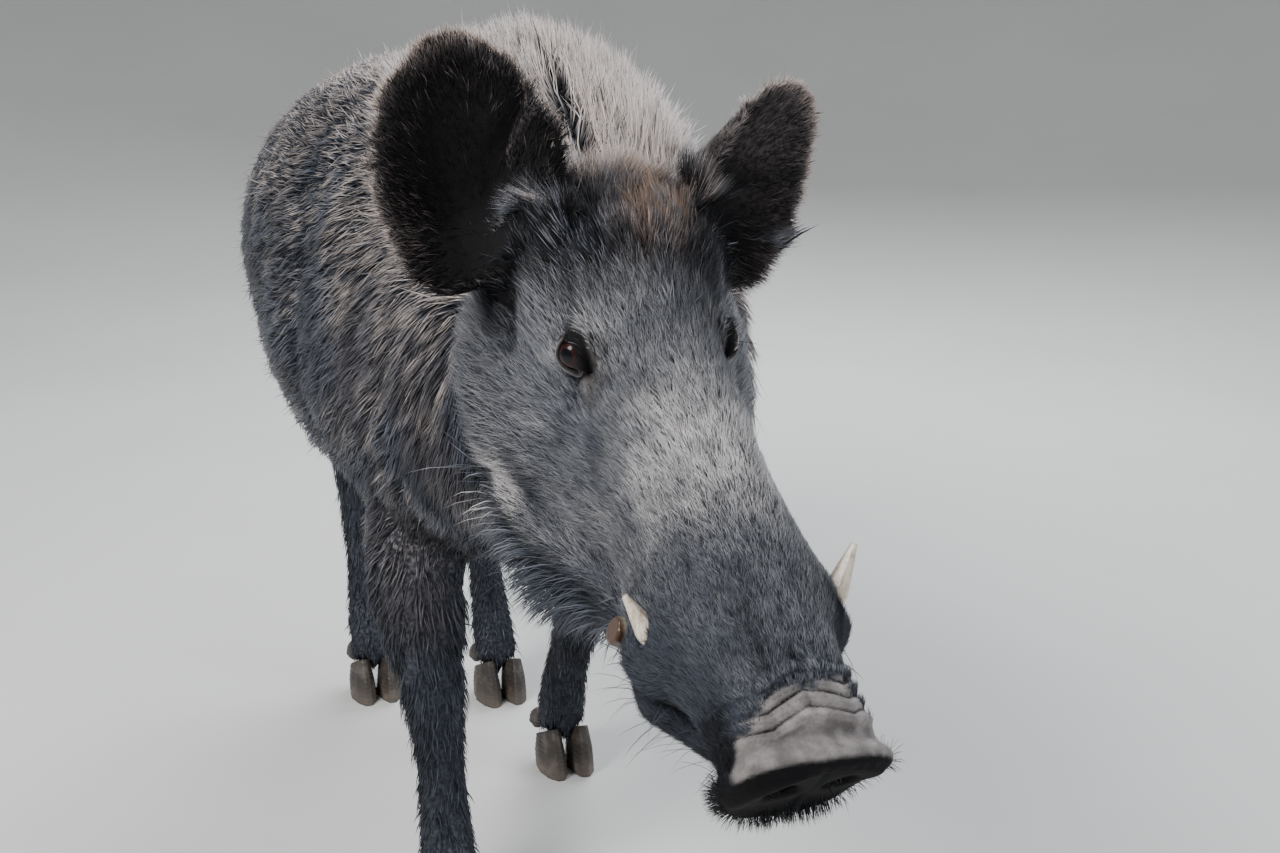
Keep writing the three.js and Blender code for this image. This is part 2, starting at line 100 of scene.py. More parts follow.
def scattered(cells):
    """For each cell of space a whole number that looks random."""
    return (cells[:, 0] * PRIMES[0]) ^ (cells[:, 1] * PRIMES[1]) ^ (cells[:, 2] * PRIMES[2])


def noise(points, size, seed):
    """Smooth noise from -1 to 1, with lumps about size across."""
    place = points / size + seed * 17.31
    cell = np.floor(place).astype(np.int64)
    t = place - cell
    t = t * t * (3 - 2 * t)
    total = np.zeros(len(points))
    for corner in product((0, 1), repeat=3):
        mixed = (scattered(cell + corner) * 2654435761) & 0xFFFFFFFF
        value = ((mixed >> 9) & 0xFFFF) / 32767.5 - 1
        total += value * np.prod(np.where(corner, t, 1 - t), axis=1)
    return total


def pulled(items, field, width, kind=float):
    """One field of all of a mesh's points, edges or faces, as rows of width numbers."""
    flat = np.zeros(len(items) * width, kind)
    items.foreach_get(field, flat)
    return flat.reshape(-1, width)


def coordinates(mesh):
    return pulled(mesh.vertices, "co", 3)


def move_points(mesh, points):
    mesh.vertices.foreach_set("co", points.astype(np.float32).ravel())
    mesh.update()


def mesh_edges(mesh):
    return pulled(mesh.edges, "vertices", 2, np.int32)


def corner_table(mesh):
    """The corners of every triangle of a mesh."""
    mesh.calc_loop_triangles()
    return pulled(mesh.loop_triangles, "vertices", 3, np.int32)


def point_normals(points, corners):
    """Area-weighted normals of the points of a triangle mesh."""
    a, b, c = (points[corners[:, k]] for k in range(3))
    face = np.cross(b - a, c - a)
    normals = np.zeros_like(points)
    for k in range(3):
        for axis in range(3):
            normals[:, axis] += np.bincount(corners[:, k], face[:, axis], len(points))
    return unit(normals)


def relax(points, edges, amount, times, keep_size=False):
    """Evens out a surface. amount, from 0 to 1, is one number or one for each point."""
    points = points.copy()
    ends = np.concatenate([edges[:, 0], edges[:, 1]])
    others = np.concatenate([edges[:, 1], edges[:, 0]])
    count = np.maximum(np.bincount(ends, minlength=len(points)), 1)[:, None]
    amount = np.broadcast_to(amount, len(points))[:, None]
    for step in range(times):
        mean = np.stack(
            [np.bincount(ends, points[others, axis], len(points)) for axis in range(3)], axis=1
        ) / count
        sign = -1.06 if keep_size and step % 2 else 1.0
        points += (mean - points) * amount * 0.5 * sign
    return points


def plain_mesh(name, points, faces):
    """A mesh from an array of points and one of equal-sided faces."""
    mesh = bpy.data.meshes.new(name)
    sides = faces.shape[1]
    mesh.vertices.add(len(points))
    mesh.vertices.foreach_set("co", np.asarray(points, np.float32).ravel())
    mesh.loops.add(faces.size)
    mesh.loops.foreach_set("vertex_index", np.asarray(faces, np.int32).ravel())
    mesh.polygons.add(len(faces))
    mesh.polygons.foreach_set("loop_start", np.arange(0, faces.size, sides, dtype=np.int32))
    mesh.update(calc_edges=True)
    mesh.shade_smooth()
    return mesh


def show(data, name=None):
    """A new object of the scene with a mesh, light or camera."""
    obj = bpy.data.objects.new(name or data.name, data)
    bpy.context.scene.collection.objects.link(obj)
    return obj


def baked(obj, **modifiers):
    """The mesh of an object with modifiers applied. Each is a type with its settings."""
    for kind, settings in modifiers.items():
        modifier = obj.modifiers.new(kind, kind)
        for key, value in settings.items():
            setattr(modifier, key, value)
    bpy.context.view_layer.update()
    mesh = bpy.data.meshes.new_from_object(
        obj.evaluated_get(bpy.context.evaluated_depsgraph_get())
    )
    obj.modifiers.clear()
    return mesh


def joined(nodes, name, voxel):
    """One closed mesh round some CAD nodes, with faces about voxel across."""
    work = bmesh.new()
    for node in nodes:
        work.from_mesh(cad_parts[node].data)
    bmesh.ops.remove_doubles(work, verts=work.verts, dist=0.05 * MM)
    base = bpy.data.meshes.new(name)
    work.to_mesh(base)
    work.free()
    obj = show(base)
    mesh = baked(obj, REMESH={"mode": "VOXEL", "voxel_size": voxel})
    bpy.data.objects.remove(obj)
    return mesh


def largest_shell(points, edges, corners):
    """Only the points, and triangles on them, of the mesh's largest connected shell."""
    label = np.arange(len(points))
    while True:
        low = np.minimum(label[edges[:, 0]], label[edges[:, 1]])
        new = label.copy()
        np.minimum.at(new, edges[:, 0], low)
        np.minimum.at(new, edges[:, 1], low)
        new = new[new]
        if np.array_equal(new, label):
            break
        label = new
    kept = label == np.bincount(label).argmax()
    index = np.cumsum(kept) - 1
    return points[kept], index[corners[kept[corners[:, 0]]]]


# ---------------------------------------------------------------- the head's own frame

def middle_of(node):
    low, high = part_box(node)
    return np.array((low + high) / 2)


def turn(axis, angle):
    return np.array(Matrix.Rotation(angle, 3, axis))


HEAD_TURN = turn("Z", HEAD_YAW) @ turn("X", HEAD_PITCH) @ turn("Y", -HEAD_ROLL)
HEAD_ORIGIN = (middle_of("eye_left") + middle_of("eye_right")) / 2 + HEAD_TURN @ (0, EYE_AHEAD, 0)


def to_head(points):
    """Points in the head's frame: x to its left, y back from the nose, z up, origin between the eyes."""
    return (points - HEAD_ORIGIN) @ HEAD_TURN


def from_head(points):
    return np.asarray(points) @ HEAD_TURN.T + HEAD_ORIGIN


def head_way(vector):
    return np.asarray(vector) @ HEAD_TURN.T


# ---------------------------------------------------------------- landmarks on the animal

# x is outwards on both ears: where the cup is rooted, which way it points and which way it opens.
EARS = {
    "right": {"side": -1, "base": (93, 64, 32), "axis": (0.16, 0.6, 0.78), "opens": (0.45, -0.62, 0.6)},
    "left": {"side": 1, "base": (74, 74, 26), "axis": (0.84, 0.68, 0.44), "opens": (0.5, -0.84, 0.25)},
}
# A line through each ear's root on the head, in millimetres: its low end and its high end.
EAR_ROOTS = (((-96, 68, 12), (-58, 80, 84)), ((96, 68, 12), (84, 74, 40)))
EAR_LENGTH = 154 * MM
EAR_HALF = 72 * MM
EAR_HOLLOW = 14 * MM               # how much deeper the skin's cup is than the solid's
EAR_FRINGE = 9 * MM                # how far the hair stands out past the skin's rim
EAR_SKIN_LENGTH = EAR_LENGTH * 0.985 - EAR_FRINGE
EAR_SKIN_HALF = EAR_HALF - 0.7 * EAR_FRINGE

EYE_RADIUS = 13.5 * MM
EYE_SIDE = 50 * MM
EYE_REACH = 24 * MM                # how far round the lids the skin knows its distance from them
TEAR_REACH = 48 * MM
GAZE = (0.84, -0.47, 0.27)         # outwards, ahead, up
LID_TILT = math.radians(24)        # the inner corner hangs lower
LID_REAR, LID_FRONT = math.radians(-57), math.radians(66)
LID_TOP, LID_BOTTOM = math.radians(37), math.radians(-35)

MOUTH_UP = -112.5 * MM             # height of the mouth's line in the head's frame
MOUTH_CORNER = 96 * MM             # how far ahead of the eyes the mouth ends
TUSK_AHEAD = 180 * MM
DISC_AHEAD = 294 * MM
DISC_UP = -72 * MM
DISC_TILT = math.radians(14)
FOLD_SPACING = 9.6 * MM            # of the folds over the nose
WRINKLE_SPACING = 7.5 * MM         # of the wrinkles at the lips
NECK_FOLD_SPACING = 46 * MM

TRUNK_LOW, TRUNK_HIGH = (np.array(corner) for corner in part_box("trunk"))
BACK_TOP = TRUNK_HIGH[2]
BELLY = TRUNK_LOW[2]
NECK_END = np.array(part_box("neck")[0])[1]
RUMP_END = TRUNK_HIGH[1]
TAIL_LOW, TAIL_HIGH = (np.array(corner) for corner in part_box("tail"))


def ear_frame(name):
    """The base, the way up, the way across and the way it opens, of one ear in the head's frame."""
    ear = EARS[name]
    flip = np.array([ear["side"], 1, 1])
    up = unit(np.array(ear["axis"]) * flip)
    front = np.array(ear["opens"]) * flip
    front = unit(front - up * dot(front, up))
    return np.array(ear["base"]) * flip * MM, up, np.cross(up, front), front


def on_ear(local, name):
    """How far up and across one ear each point lies."""
    base, up, across, _ = ear_frame(name)
    return dot(local - base, up), dot(local - base, across)


def eye_frame(side):
    """The centre, gaze, way to the nose and way up, of one eye in the head's frame."""
    gaze = unit(np.array([GAZE[0] * side, GAZE[1], GAZE[2]]))
    ahead = np.array([0, -1.0, -0.1])
    ahead = unit(ahead - gaze * dot(ahead, gaze))
    return np.array([EYE_SIDE * side, -EYE_AHEAD, 0]), gaze, ahead, np.cross(ahead, gaze) * side


def lid_curve(count=88):
    """The edge of the lids as angles ahead and up from the gaze, once round from the rear corner."""
    place = 0.5 - 0.5 * np.cos(np.pi * np.linspace(0, 1, count // 2, endpoint=False))
    across = LID_REAR + (LID_FRONT - LID_REAR) * place
    top = np.stack([across, LID_TOP * np.sin(np.pi * place ** 0.8) ** 0.8], axis=1)
    under = LID_BOTTOM * np.sin(np.pi * place ** 1.2) ** 0.9
    bottom = np.stack([LID_FRONT + LID_REAR - across, under], axis=1)
    c, s = math.cos(LID_TILT), math.sin(LID_TILT)
    return np.concatenate([top, bottom]) @ np.array([[c, -s], [s, c]])


def lid_distance(angles):
    """How far outside the lids' edge each place is, in metres over the eyeball; negative between them."""
    edge = lid_curve()
    after = np.roll(edge, -1, axis=0)
    nearest = np.full(len(angles), np.inf)
    inside = np.zeros(len(angles), bool)
    for a, b in zip(edge, after):
        t = np.clip(dot(angles - a, b - a) / dot(b - a, b - a), 0, 1)[:, None]
        nearest = np.minimum(nearest, np.linalg.norm(angles - a - t * (b - a), axis=1))
        crosses = (a[1] > angles[:, 1]) != (b[1] > angles[:, 1])
        with np.errstate(divide="ignore", invalid="ignore"):
            at = a[0] + (angles[:, 1] - a[1]) * (b[0] - a[0]) / (b[1] - a[1])
        inside ^= crosses & (angles[:, 0] < at)
    return np.where(inside, -nearest, nearest) * EYE_RADIUS


def ear_masks(points, near=14 * MM):
    """How much each point belongs to either ear, and how far up and across that ear it lies.

    near is how far from an ear's solid the skin still counts as ear.
    """
    belongs, places = {}, {}
    local = to_head(points)
    for name in EARS:
        low, high = (np.array(c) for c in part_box(f"ear_{name}"))
        close = np.where(np.all((points > low - 0.01) & (points < high + 0.01), axis=1))[0]
        gap = {node: np.full(len(points), 1.0) for node in (f"ear_{name}", "head", "neck")}
        for node in gap:
            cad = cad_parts[node].data
            tree = BVHTree.FromPolygons(coordinates(cad).tolist(), corner_table(cad).tolist())
            for i in close:
                place, normal, _, far = tree.find_nearest(Vector(points[i]))
                inside = not node.startswith("ear") and normal.dot(Vector(points[i]) - place) < 0
                gap[node][i] = -far if inside else far
        rise, width = on_ear(local, name)
        belongs[name] = smooth(near + 5 * MM, near, gap[f"ear_{name}"]) * smooth(-30 * MM, -8 * MM, rise)
        beside = np.maximum(smooth(0.9, 1.0, np.abs(width) / EAR_HALF), smooth(16 * MM, 4 * MM, rise))
        belongs[name] *= smooth(-1 * MM, 4 * MM, gap["head"])
        belongs[name] *= 1 - beside * smooth(-1 * MM, -6 * MM, gap["neck"])
        places[name] = (rise, width)
    return belongs, places


def ear_edge(rise, width):
    """0 in the middle of an ear's hollow, 1 at its rim."""
    return np.hypot(width / EAR_SKIN_HALF, np.clip((rise / EAR_SKIN_LENGTH - 0.35) / 0.65, 0, 1))


def draw_in_ears(points, ears):
    """Draws each ear's skin in from its rim, by the hair that stands there, and hollows its cup."""
    local = to_head(points)
    for name in EARS:
        _, up, across, front = ear_frame(name)
        rise, width = on_ear(local, name)
        share = (ears[name] * smooth(-10 * MM, 40 * MM, rise))[:, None]
        along = np.clip(rise / EAR_LENGTH, 0, 1)
        inwards = across * (-width * 0.7 * EAR_FRINGE / EAR_HALF)[:, None]
        shift = up * (-EAR_FRINGE * along)[:, None] + inwards
        hollow = (1 - np.clip(np.abs(width) / EAR_HALF, 0, 1) ** 2) * bell(along, 0.3, 0.45)
        local = local + (shift - front * (EAR_HOLLOW * hollow)[:, None]) * share
    return from_head(local)


def near_ear_roots(local):
    """1 where the ears leave the head, from their roots up to the corners of the crown."""
    mask = np.zeros(len(local))
    for ends in EAR_ROOTS:
        low_end, high_end = (np.array(place) * MM for place in ends)
        along = high_end - low_end
        t = np.clip(dot(local - low_end, along) / dot(along, along), 0, 1)
        far = np.linalg.norm(local - low_end - t[:, None] * along, axis=1)
        mask = np.maximum(mask, smooth(40 * MM, 22 * MM, far))
    return mask


def regions(points, normals):
    """Soft masks, from 0 to 1, of the named places on the animal, and places measured from the head."""
    local = to_head(points)
    side, ahead, up = np.abs(local[:, 0]), -local[:, 1], local[:, 2]
    x, y, z = points[:, 0], points[:, 1], points[:, 2]
    c, s = math.cos(DISC_TILT), math.sin(DISC_TILT)
    disc_out = (ahead - DISC_AHEAD) * c - (up - DISC_UP) * s
    disc_up = (ahead - DISC_AHEAD) * s + (up - DISC_UP) * c
    head = smooth(-0.128, -0.085, ahead + 0.25 * (up + 0.03))
    to_front = dot(normals @ HEAD_TURN, np.array([0, -c, -s]))
    over_jaw = up + 0.160 - 0.33 * np.clip(ahead, 0, 0.12)
    crest = HEAD_ORIGIN[0] * smooth(0.1, -0.4, y)
    crest_width = 0.085 + 0.035 * smooth(0.05, -0.2, y)
    tail_root = smooth(RUMP_END - 0.045, RUMP_END - 0.03, y) * smooth(0.035, 0.025, np.abs(x))
    tail_root = tail_root * smooth(TAIL_HIGH[2] + 0.01, TAIL_HIGH[2] - 0.01, z)
    return {
        "side": side, "ahead": ahead, "up": up,
        "disc_out": disc_out, "disc_up": disc_up, "over_jaw": over_jaw,
        "head": head,
        "snout": smooth(0.225, 0.262, ahead) * head,
        "disc": smooth(-24 * MM, -12 * MM, disc_out) * head,
        "plate": smooth(6 * MM, 11 * MM, disc_out) * smooth(0.35, 0.75, to_front) * head,
        "jaw": head * smooth(0.008, -0.022, over_jaw) * smooth(0.2, 0.1, ahead),
        "crown": head * smooth(0.03, -0.09, ahead) * smooth(0.01, 0.07, up) * smooth(0.085, 0.035, side),
        "brow": head * smooth(0.05, 0.0, ahead) * smooth(0.0, 0.03, up),
        "ear_root": near_ear_roots(local),
        "ridge": smooth(0.25, 0.85, normals[:, 2]) * bell((x - crest) / crest_width, 0, 1),
        "belly": smooth(-0.2, -0.75, normals[:, 2]) * smooth(0.55, 0.42, z) * (1 - head),
        "leg": smooth(0.43, 0.33, z) * (1 - head),
        "foot": smooth(0.13, 0.07, z),
        "tail": np.maximum(tail_root, smooth(RUMP_END, RUMP_END + 0.006, y)),
    }


def tear_distance(ahead, up):
    """How far places are from the crease that runs from the eye's inner corner down the face."""
    t = np.clip(((ahead - 12 * MM) * 22 - (up + 4 * MM) * 9) / (22 ** 2 + 9 ** 2) / MM, 0, 1)
    return np.hypot(ahead - (12 + 22 * t) * MM, up + (4 + 9 * t) * MM)


def lid_angles(off, gaze, ahead, up):
    """The angles from the gaze, towards the nose and upwards, of places round an eyeball."""
    forward, along = dot(off, gaze), dot(off, ahead)
    return np.stack([np.arctan2(along, forward), np.arctan2(dot(off, up), np.hypot(forward, along))], axis=1)


def upper_lid(angles):
    """1 on the upper lid and 0 on the lower one."""
    return smooth(-0.1, 0.25, angles[:, 1] + 0.25 * angles[:, 0])


def eye_ring(points):
    """How far each point is outside the nearer eye's lids, its angles there, and its tear distance."""
    local = to_head(points)
    ring, tear = np.full(len(points), EYE_REACH), np.full(len(points), EYE_REACH)
    angles = np.zeros((len(points), 2))
    for side in (-1, 1):
        centre, gaze, ahead, up = eye_frame(side)
        off = local - centre
        far = np.linalg.norm(off, axis=1)
        near = np.where((far < EYE_REACH + EYE_RADIUS) & (dot(off, gaze) > -4 * MM))[0]
        angles[near] = lid_angles(off[near], gaze, ahead, up)
        ring[near] = lid_distance(angles[near])
        near = np.where(far < TEAR_REACH)[0]
        tear[near] = tear_distance(dot(off[near], ahead), dot(off[near], up))
    return ring, angles, tear


# ---------------------------------------------------------------- the skin's form

def coat_depth(points, masks, ears, sizes):
    """How deep the coat is over each place of the skin."""
    ridge, head, disc, y = masks["ridge"], masks["head"], masks["disc"], points[:, 1]
    face = sizes.face_depth * (1 - 0.6 * masks["snout"])
    face = face + 15 * MM * masks["crown"] + 4 * MM * masks["jaw"]
    depth = np.full(len(points), sizes.flank_depth)
    depth = depth + (sizes.back_depth - depth) * ridge
    depth = depth + (sizes.mane_depth - depth) * ridge * smooth(0.25, -0.1, y)
    depth = depth + (0.7 * sizes.flank_depth - depth) * masks["belly"]
    depth = depth * (1 - 0.25 * smooth(NECK_END + 0.3, NECK_END + 0.1, y) * (1 - ridge))
    depth = depth + (sizes.leg_depth - depth) * masks["leg"]
    depth = depth + (0.6 * sizes.leg_depth - depth) * masks["foot"]
    depth = depth + (sizes.leg_depth - depth) * masks["tail"]
    depth = depth + (face - depth) * head
    depth = depth * (1 - 0.95 * disc)
    depth = depth + 4 * MM * disc * smooth(-4 * MM, -26 * MM, masks["disc_up"])
    for name in EARS:
        depth = depth + (0.8 * MM - depth) * ears[name]
    return depth


def nose_folds(local, masks, way):
    """The folds over the top of the nose, arched over each nostril: their height, and how dark their creases
    are painted as shade.
    """
    x = local[:, 0]
    arch = masks["disc_out"] + 0.34 * np.abs(np.abs(x) - 26 * MM) + 1.3 * MM * noise(local, 15 * MM, 4)
    top = smooth(-0.15, 0.35, way[:, 2]) * masks["head"]
    window = smooth(-46 * MM, -36 * MM, arch) * smooth(-3 * MM, -9 * MM, arch) * top
    wave = np.abs(np.sin(np.pi * (arch + 4 * MM) / FOLD_SPACING))
    broken = 0.7 + 0.3 * smooth(-0.5, 0.3, noise(local, 18 * MM, 9))
    fine = np.abs(np.sin(np.pi * (arch + 0.12 * np.abs(x)) / (0.37 * FOLD_SPACING)))
    height = 3.4 * MM * (wave ** 0.6 - 0.6) + 0.7 * MM * (fine ** 0.7 - 0.6)
    # how much the creases are darkened: painted shade
    crease = smooth(0.42, 0.05, wave) + 0.25 * smooth(0.4, 0.05, fine)
    return height * window * broken, np.clip(crease, 0, 1) * window * broken


def head_folds(out, local, way, masks, bare):
    """Adds the creases, folds and muscle of the head to how far the skin stands out."""
    x, side, ahead, up = local[:, 0], masks["side"], masks["ahead"], masks["up"]
    head, plate = masks["head"], masks["plate"]
    disc_out, disc_up = masks["disc_out"], masks["disc_up"]
    sideways, upwards = np.abs(way[:, 0]), way[:, 2]

    # the nose: folds over its top, the flared rim of the disc, the flat plate and its nostrils
    out += nose_folds(local, masks, way)[0]
    flare = bell(disc_out, 5 * MM, 6 * MM) * (1 - plate) * head
    out += 4.5 * MM * flare * smooth(-0.7, 0.3, upwards)
    edge = np.hypot(x / (54 * MM), (disc_up + 13 * MM) / (40 * MM))
    out -= 2.6 * MM * plate * smooth(0.95, 0.7, edge)
    out -= 8 * MM * plate * bell(side, 20 * MM, 8 * MM) * bell(disc_up, -6 * MM, 6.5 * MM)
    out -= 1.3 * MM * plate * bell(x, 0, 3 * MM)
    # the furrow down the middle, and the hollow where it ends
    furrow = bell(x, 2 * MM, 4.5 * MM) * smooth(0, 0.5, upwards) * head
    out -= 3.4 * MM * furrow * smooth(-95 * MM, -55 * MM, disc_out) * smooth(-8 * MM, -22 * MM, disc_out)
    out -= 5.5 * MM * bell(x, 2 * MM, 7 * MM) * bell(disc_out, -50 * MM, 8 * MM) * smooth(0, 0.5, upwards)

    # the mouth's line, its corner, and wrinkles at the lips
    mouth = head * smooth(MOUTH_CORNER - 4 * MM, MOUTH_CORNER + 6 * MM, ahead) * smooth(0.28, 0.262, ahead)
    dip = MOUTH_UP + 2.5 * MM * np.sin((ahead - 0.1) / 0.03)
    out -= 4.5 * MM * bell(up, dip, 3.2 * MM) * mouth * smooth(0.15, 0.5, sideways)
    out += 1.8 * MM * bell(up, dip + 9 * MM, 6 * MM) * mouth
    wrinkle = 1.6 * MM * bell(np.sin(2 * np.pi * (ahead + 0.3 * up) / WRINKLE_SPACING), -1, 0.55)
    wrinkle = wrinkle * bell(up, MOUTH_UP + 14 * MM, 11 * MM)
    out -= wrinkle * smooth(0.21, 0.235, ahead) * smooth(0.285, 0.26, ahead)

    # round the tusk the lip is pushed up in a cushion with creases above it, and covers the tusk's foot
    foot = bell(ahead, TUSK_AHEAD + 8 * MM, 18 * MM) * smooth(-76 * MM, -90 * MM, up)
    foot = foot * smooth(-122 * MM, -108 * MM, up)
    out += 9 * MM * foot * head * smooth(0.2, 0.6, sideways)
    tusk = np.hypot(ahead - TUSK_AHEAD, (up + 84 * MM) * 1.1)
    cushion = 2.5 * MM * bell(tusk, 27 * MM, 9 * MM) * head
    out += cushion * smooth(0.3, 0.7, sideways) * smooth(-0.125, -0.1, up)
    out -= 1.8 * MM * bell(tusk, 36 * MM, 3 * MM) * head * smooth(-0.09, -0.06, up)

    # face: hollow in front of the eye, cheek bone, temple crease up to the ear
    before_eye = 4 * MM * bell(ahead, 34 * MM, 20 * MM) * bell(up, -14 * MM, 14 * MM)
    out -= before_eye * smooth(0.2, 0.6, sideways)
    out += 3 * MM * bell(ahead, 6 * MM, 34 * MM) * bell(up, -38 * MM + 0.3 * (ahead - 6 * MM), 13 * MM)
    crease = 8 * MM * bell(temple_line(ahead, up), 0, 7 * MM) * smooth(-50 * MM, -15 * MM, up)
    out -= crease * smooth(45 * MM, 25 * MM, up) * smooth(40 * MM, 60 * MM, side) * bare
    out -= 2.2 * MM * bell(ahead, 62 * MM, 9 * MM) * bell(up, -40 * MM, 30 * MM)
    out += 1.1 * MM * noise(local, 34 * MM, 5) * head * (1 - masks["snout"])
    # bridge of the nose: a shallow saddle, with two low lines of muscle along it
    muscle = 1.6 * MM * bell(side, 20 * MM, 7 * MM) * smooth(60 * MM, 110 * MM, ahead)
    out += muscle * smooth(250 * MM, 215 * MM, ahead) * smooth(0.2, 0.6, upwards)
    saddle = 1.2 * MM * bell(x, 0, 8 * MM) * smooth(90 * MM, 130 * MM, ahead)
    out -= saddle * smooth(250 * MM, 225 * MM, ahead) * smooth(0.2, 0.6, upwards)


def temple_line(ahead, up):
    """How far ahead of the crease from the temple up to the ear places lie."""
    return ahead + 57 * MM + 0.52 * (up - 2 * MM)


def folds(points, normals, masks, ears):
    """How far the skin stands out from its plain form, in metres, for creases, folds and muscle."""
    local = to_head(points)
    ahead, up, head = masks["ahead"], masks["up"], masks["head"]
    way = normals @ HEAD_TURN
    y, z = points[:, 1], points[:, 2]
    out = np.zeros(len(points))
    head_folds(out, local, way, masks, 1 - np.maximum(ears["left"], ears["right"]))

    # neck: folds behind the cheek that run down from the ear
    neck = (1 - head * smooth(-0.115, -0.09, ahead)) * smooth(0.1, -0.02, y) * (1 - masks["ridge"])
    behind = -ahead + 0.15 * up
    fold = bell(np.sin(2 * np.pi * (behind + 6 * MM * noise(local, 60 * MM, 6)) / NECK_FOLD_SPACING), -1, 0.6)
    fold = 5 * MM * fold * neck * smooth(0.3, 0.8, np.abs(way[:, 0]))
    out -= fold * smooth(0.08, 0.11, behind) * smooth(0.26, 0.2, behind)

    # trunk: shoulder blade, the hollow behind it, haunch and the hollow of the flank
    on_side = smooth(0.3, 0.8, np.abs(normals[:, 0]))
    for height, along, length, level, tall in (
            (7, -0.05, 0.1, 0.64, 0.13), (-6, 0.09, 0.04, 0.6, 0.16),
            (7, 0.56, 0.1, 0.62, 0.12), (-9, 0.43, 0.05, 0.52, 0.1)):
        out += height * MM * bell(y, along, length) * bell(z, level, tall) * on_side
    out += 3 * MM * noise(points, 0.07, 7) * (1 - head) * (1 - masks["leg"])
    # legs: tendons
    out += 1.2 * MM * noise(points * np.array([1, 1, 0.4]), 0.018, 8) * masks["leg"]
    return out


def eyelids(points):
    """Moves the skin round each eye onto the eyeball as two lids with creases above and below."""
    local = to_head(points)
    for side in (-1, 1):
        centre, gaze, ahead, up = eye_frame(side)
        off = local - centre
        far = np.linalg.norm(off, axis=1)
        near = np.where((far < 44 * MM) & (dot(off, gaze) > -6 * MM) & (off[:, 0] * side > -16 * MM))[0]
        d, radius = off[near], far[near]
        angles = lid_angles(d, gaze, ahead, up)
        s = lid_distance(angles)
        upper = upper_lid(angles)
        lid = EYE_RADIUS + (2.0 + 0.9 * upper) * MM
        lid = lid - (1.7 * MM * upper + 0.9 * MM * (1 - upper)) * bell(s, 5.2 * MM, 1.1 * MM)
        lid = lid + 1.6 * MM * upper * bell(s, 8.6 * MM, 2.4 * MM)
        pouch = 0.7 * MM * bell(s, 7.2 * MM, 1.2 * MM) - 0.8 * MM * bell(s, 9.6 * MM, 1.0 * MM)
        lid = lid + (1 - upper) * pouch
        sunk = EYE_RADIUS - 3.5 * MM
        target = np.where(s < 0, lid + (sunk - lid) * smooth(0, -1.3 * MM, s), lid)
        radius_now = radius + (target - radius) * smooth(15 * MM, 4 * MM, s)
        # a fold arched over the eye, and a crease from the inner corner down the face
        arch = 1.5 * MM * bell(s, 12.5 * MM, 1.8 * MM) - 1.6 * MM * bell(s, 16 * MM, 1.8 * MM)
        radius_now = radius_now + smooth(1 * MM, 4 * MM, s) * upper * arch
        tear = tear_distance(dot(d, ahead), dot(d, up))
        radius_now = radius_now - 2.0 * MM * bell(tear, 0, 2.0 * MM) + 0.9 * MM * bell(tear, 5 * MM, 2.2 * MM)
        local[near] = centre + d / radius[:, None] * radius_now[:, None]
    return from_head(local)


def lid_rims():
    """The wet edges of the lids: a thin roll round each eye's opening. Returns points and quads."""
    edge = lid_curve()
    n, sides = len(edge), 7
    all_points, all_faces = [], []
    for side in (-1, 1):
        centre, gaze, ahead, up = eye_frame(side)
        a, b = edge[:, :1], edge[:, 1:]
        way = np.cos(b) * (np.cos(a) * gaze + np.sin(a) * ahead) + np.sin(b) * up
        path = centre + way * (EYE_RADIUS + 0.75 * MM)
        along = unit(np.roll(path, -1, axis=0) - np.roll(path, 1, axis=0))
        across = np.cross(along, way)
        thick = (1.15 + 0.2 * np.sin(edge[:, :1] * 9)) * MM
        ring = [path + thick * (math.cos(t) * across * 1.15 + math.sin(t) * way)
                for t in np.linspace(0, 2 * math.pi, sides, endpoint=False)]
        points = np.stack(ring, axis=1).reshape(-1, 3)
        i, j = np.meshgrid(np.arange(n), np.arange(sides), indexing="ij")
        i, j = i.ravel(), j.ravel()
        quads = np.stack([i * sides + j, i * sides + (j + 1) % sides,
                          ((i + 1) % n) * sides + (j + 1) % sides, ((i + 1) % n) * sides + j], axis=1)
        if side > 0:
            quads = quads[:, ::-1]
        all_faces.append(quads + sum(len(p) for p in all_points))
        all_points.append(from_head(points))
    return np.concatenate(all_points), np.concatenate(all_faces)


# ---------------------------------------------------------------- materials

def wire(tree, source, socket):
    """Links a socket to a source, or sets its value. A colour of three numbers gets its alpha."""
    if isinstance(source, bpy.types.NodeSocket):
        tree.links.new(source, socket)
    elif socket.type == "RGBA":
        socket.default_value = (*source, 1)
    else:
        socket.default_value = source


def node(tree, kind, sockets=None, **options):
    made = tree.nodes.new("ShaderNode" + kind)
    for key, value in options.items():
        setattr(made, key, value)
    for key, value in (sockets or {}).items():
        wire(tree, value, made.inputs[key])
    return made


def maths(tree, operation, *values, clamp=False):
    made = node(tree, "Math", dict(enumerate(values)), operation=operation, use_clamp=clamp)
    return made.outputs[0]


def step_between(tree, value, low, high, out_low=0.0, out_high=1.0):
    made = node(tree, "MapRange", {0: value, 1: low, 2: high, 3: out_low, 4: out_high},
                interpolation_type="SMOOTHSTEP")
    return made.outputs[0]


def blend_colours(tree, share, first, second, how="MIX"):
    made = node(tree, "Mix", {0: share, 6: first, 7: second}, data_type="RGBA", blend_type=how)
    return made.outputs[2]


def attribute(tree, name, output="Fac"):
    return node(tree, "Attribute", attribute_name=name).outputs[output]


def noise_field(tree, vector, scale, detail=3.0, roughness=0.55):
    sockets = {"Vector": vector, "Scale": scale, "Detail": detail, "Roughness": roughness}
    return node(tree, "TexNoise", sockets).outputs[0]


def object_place(tree):
    return node(tree, "TexCoord").outputs["Object"]


def scaled(colour, share):
    return tuple(share * c for c in colour)


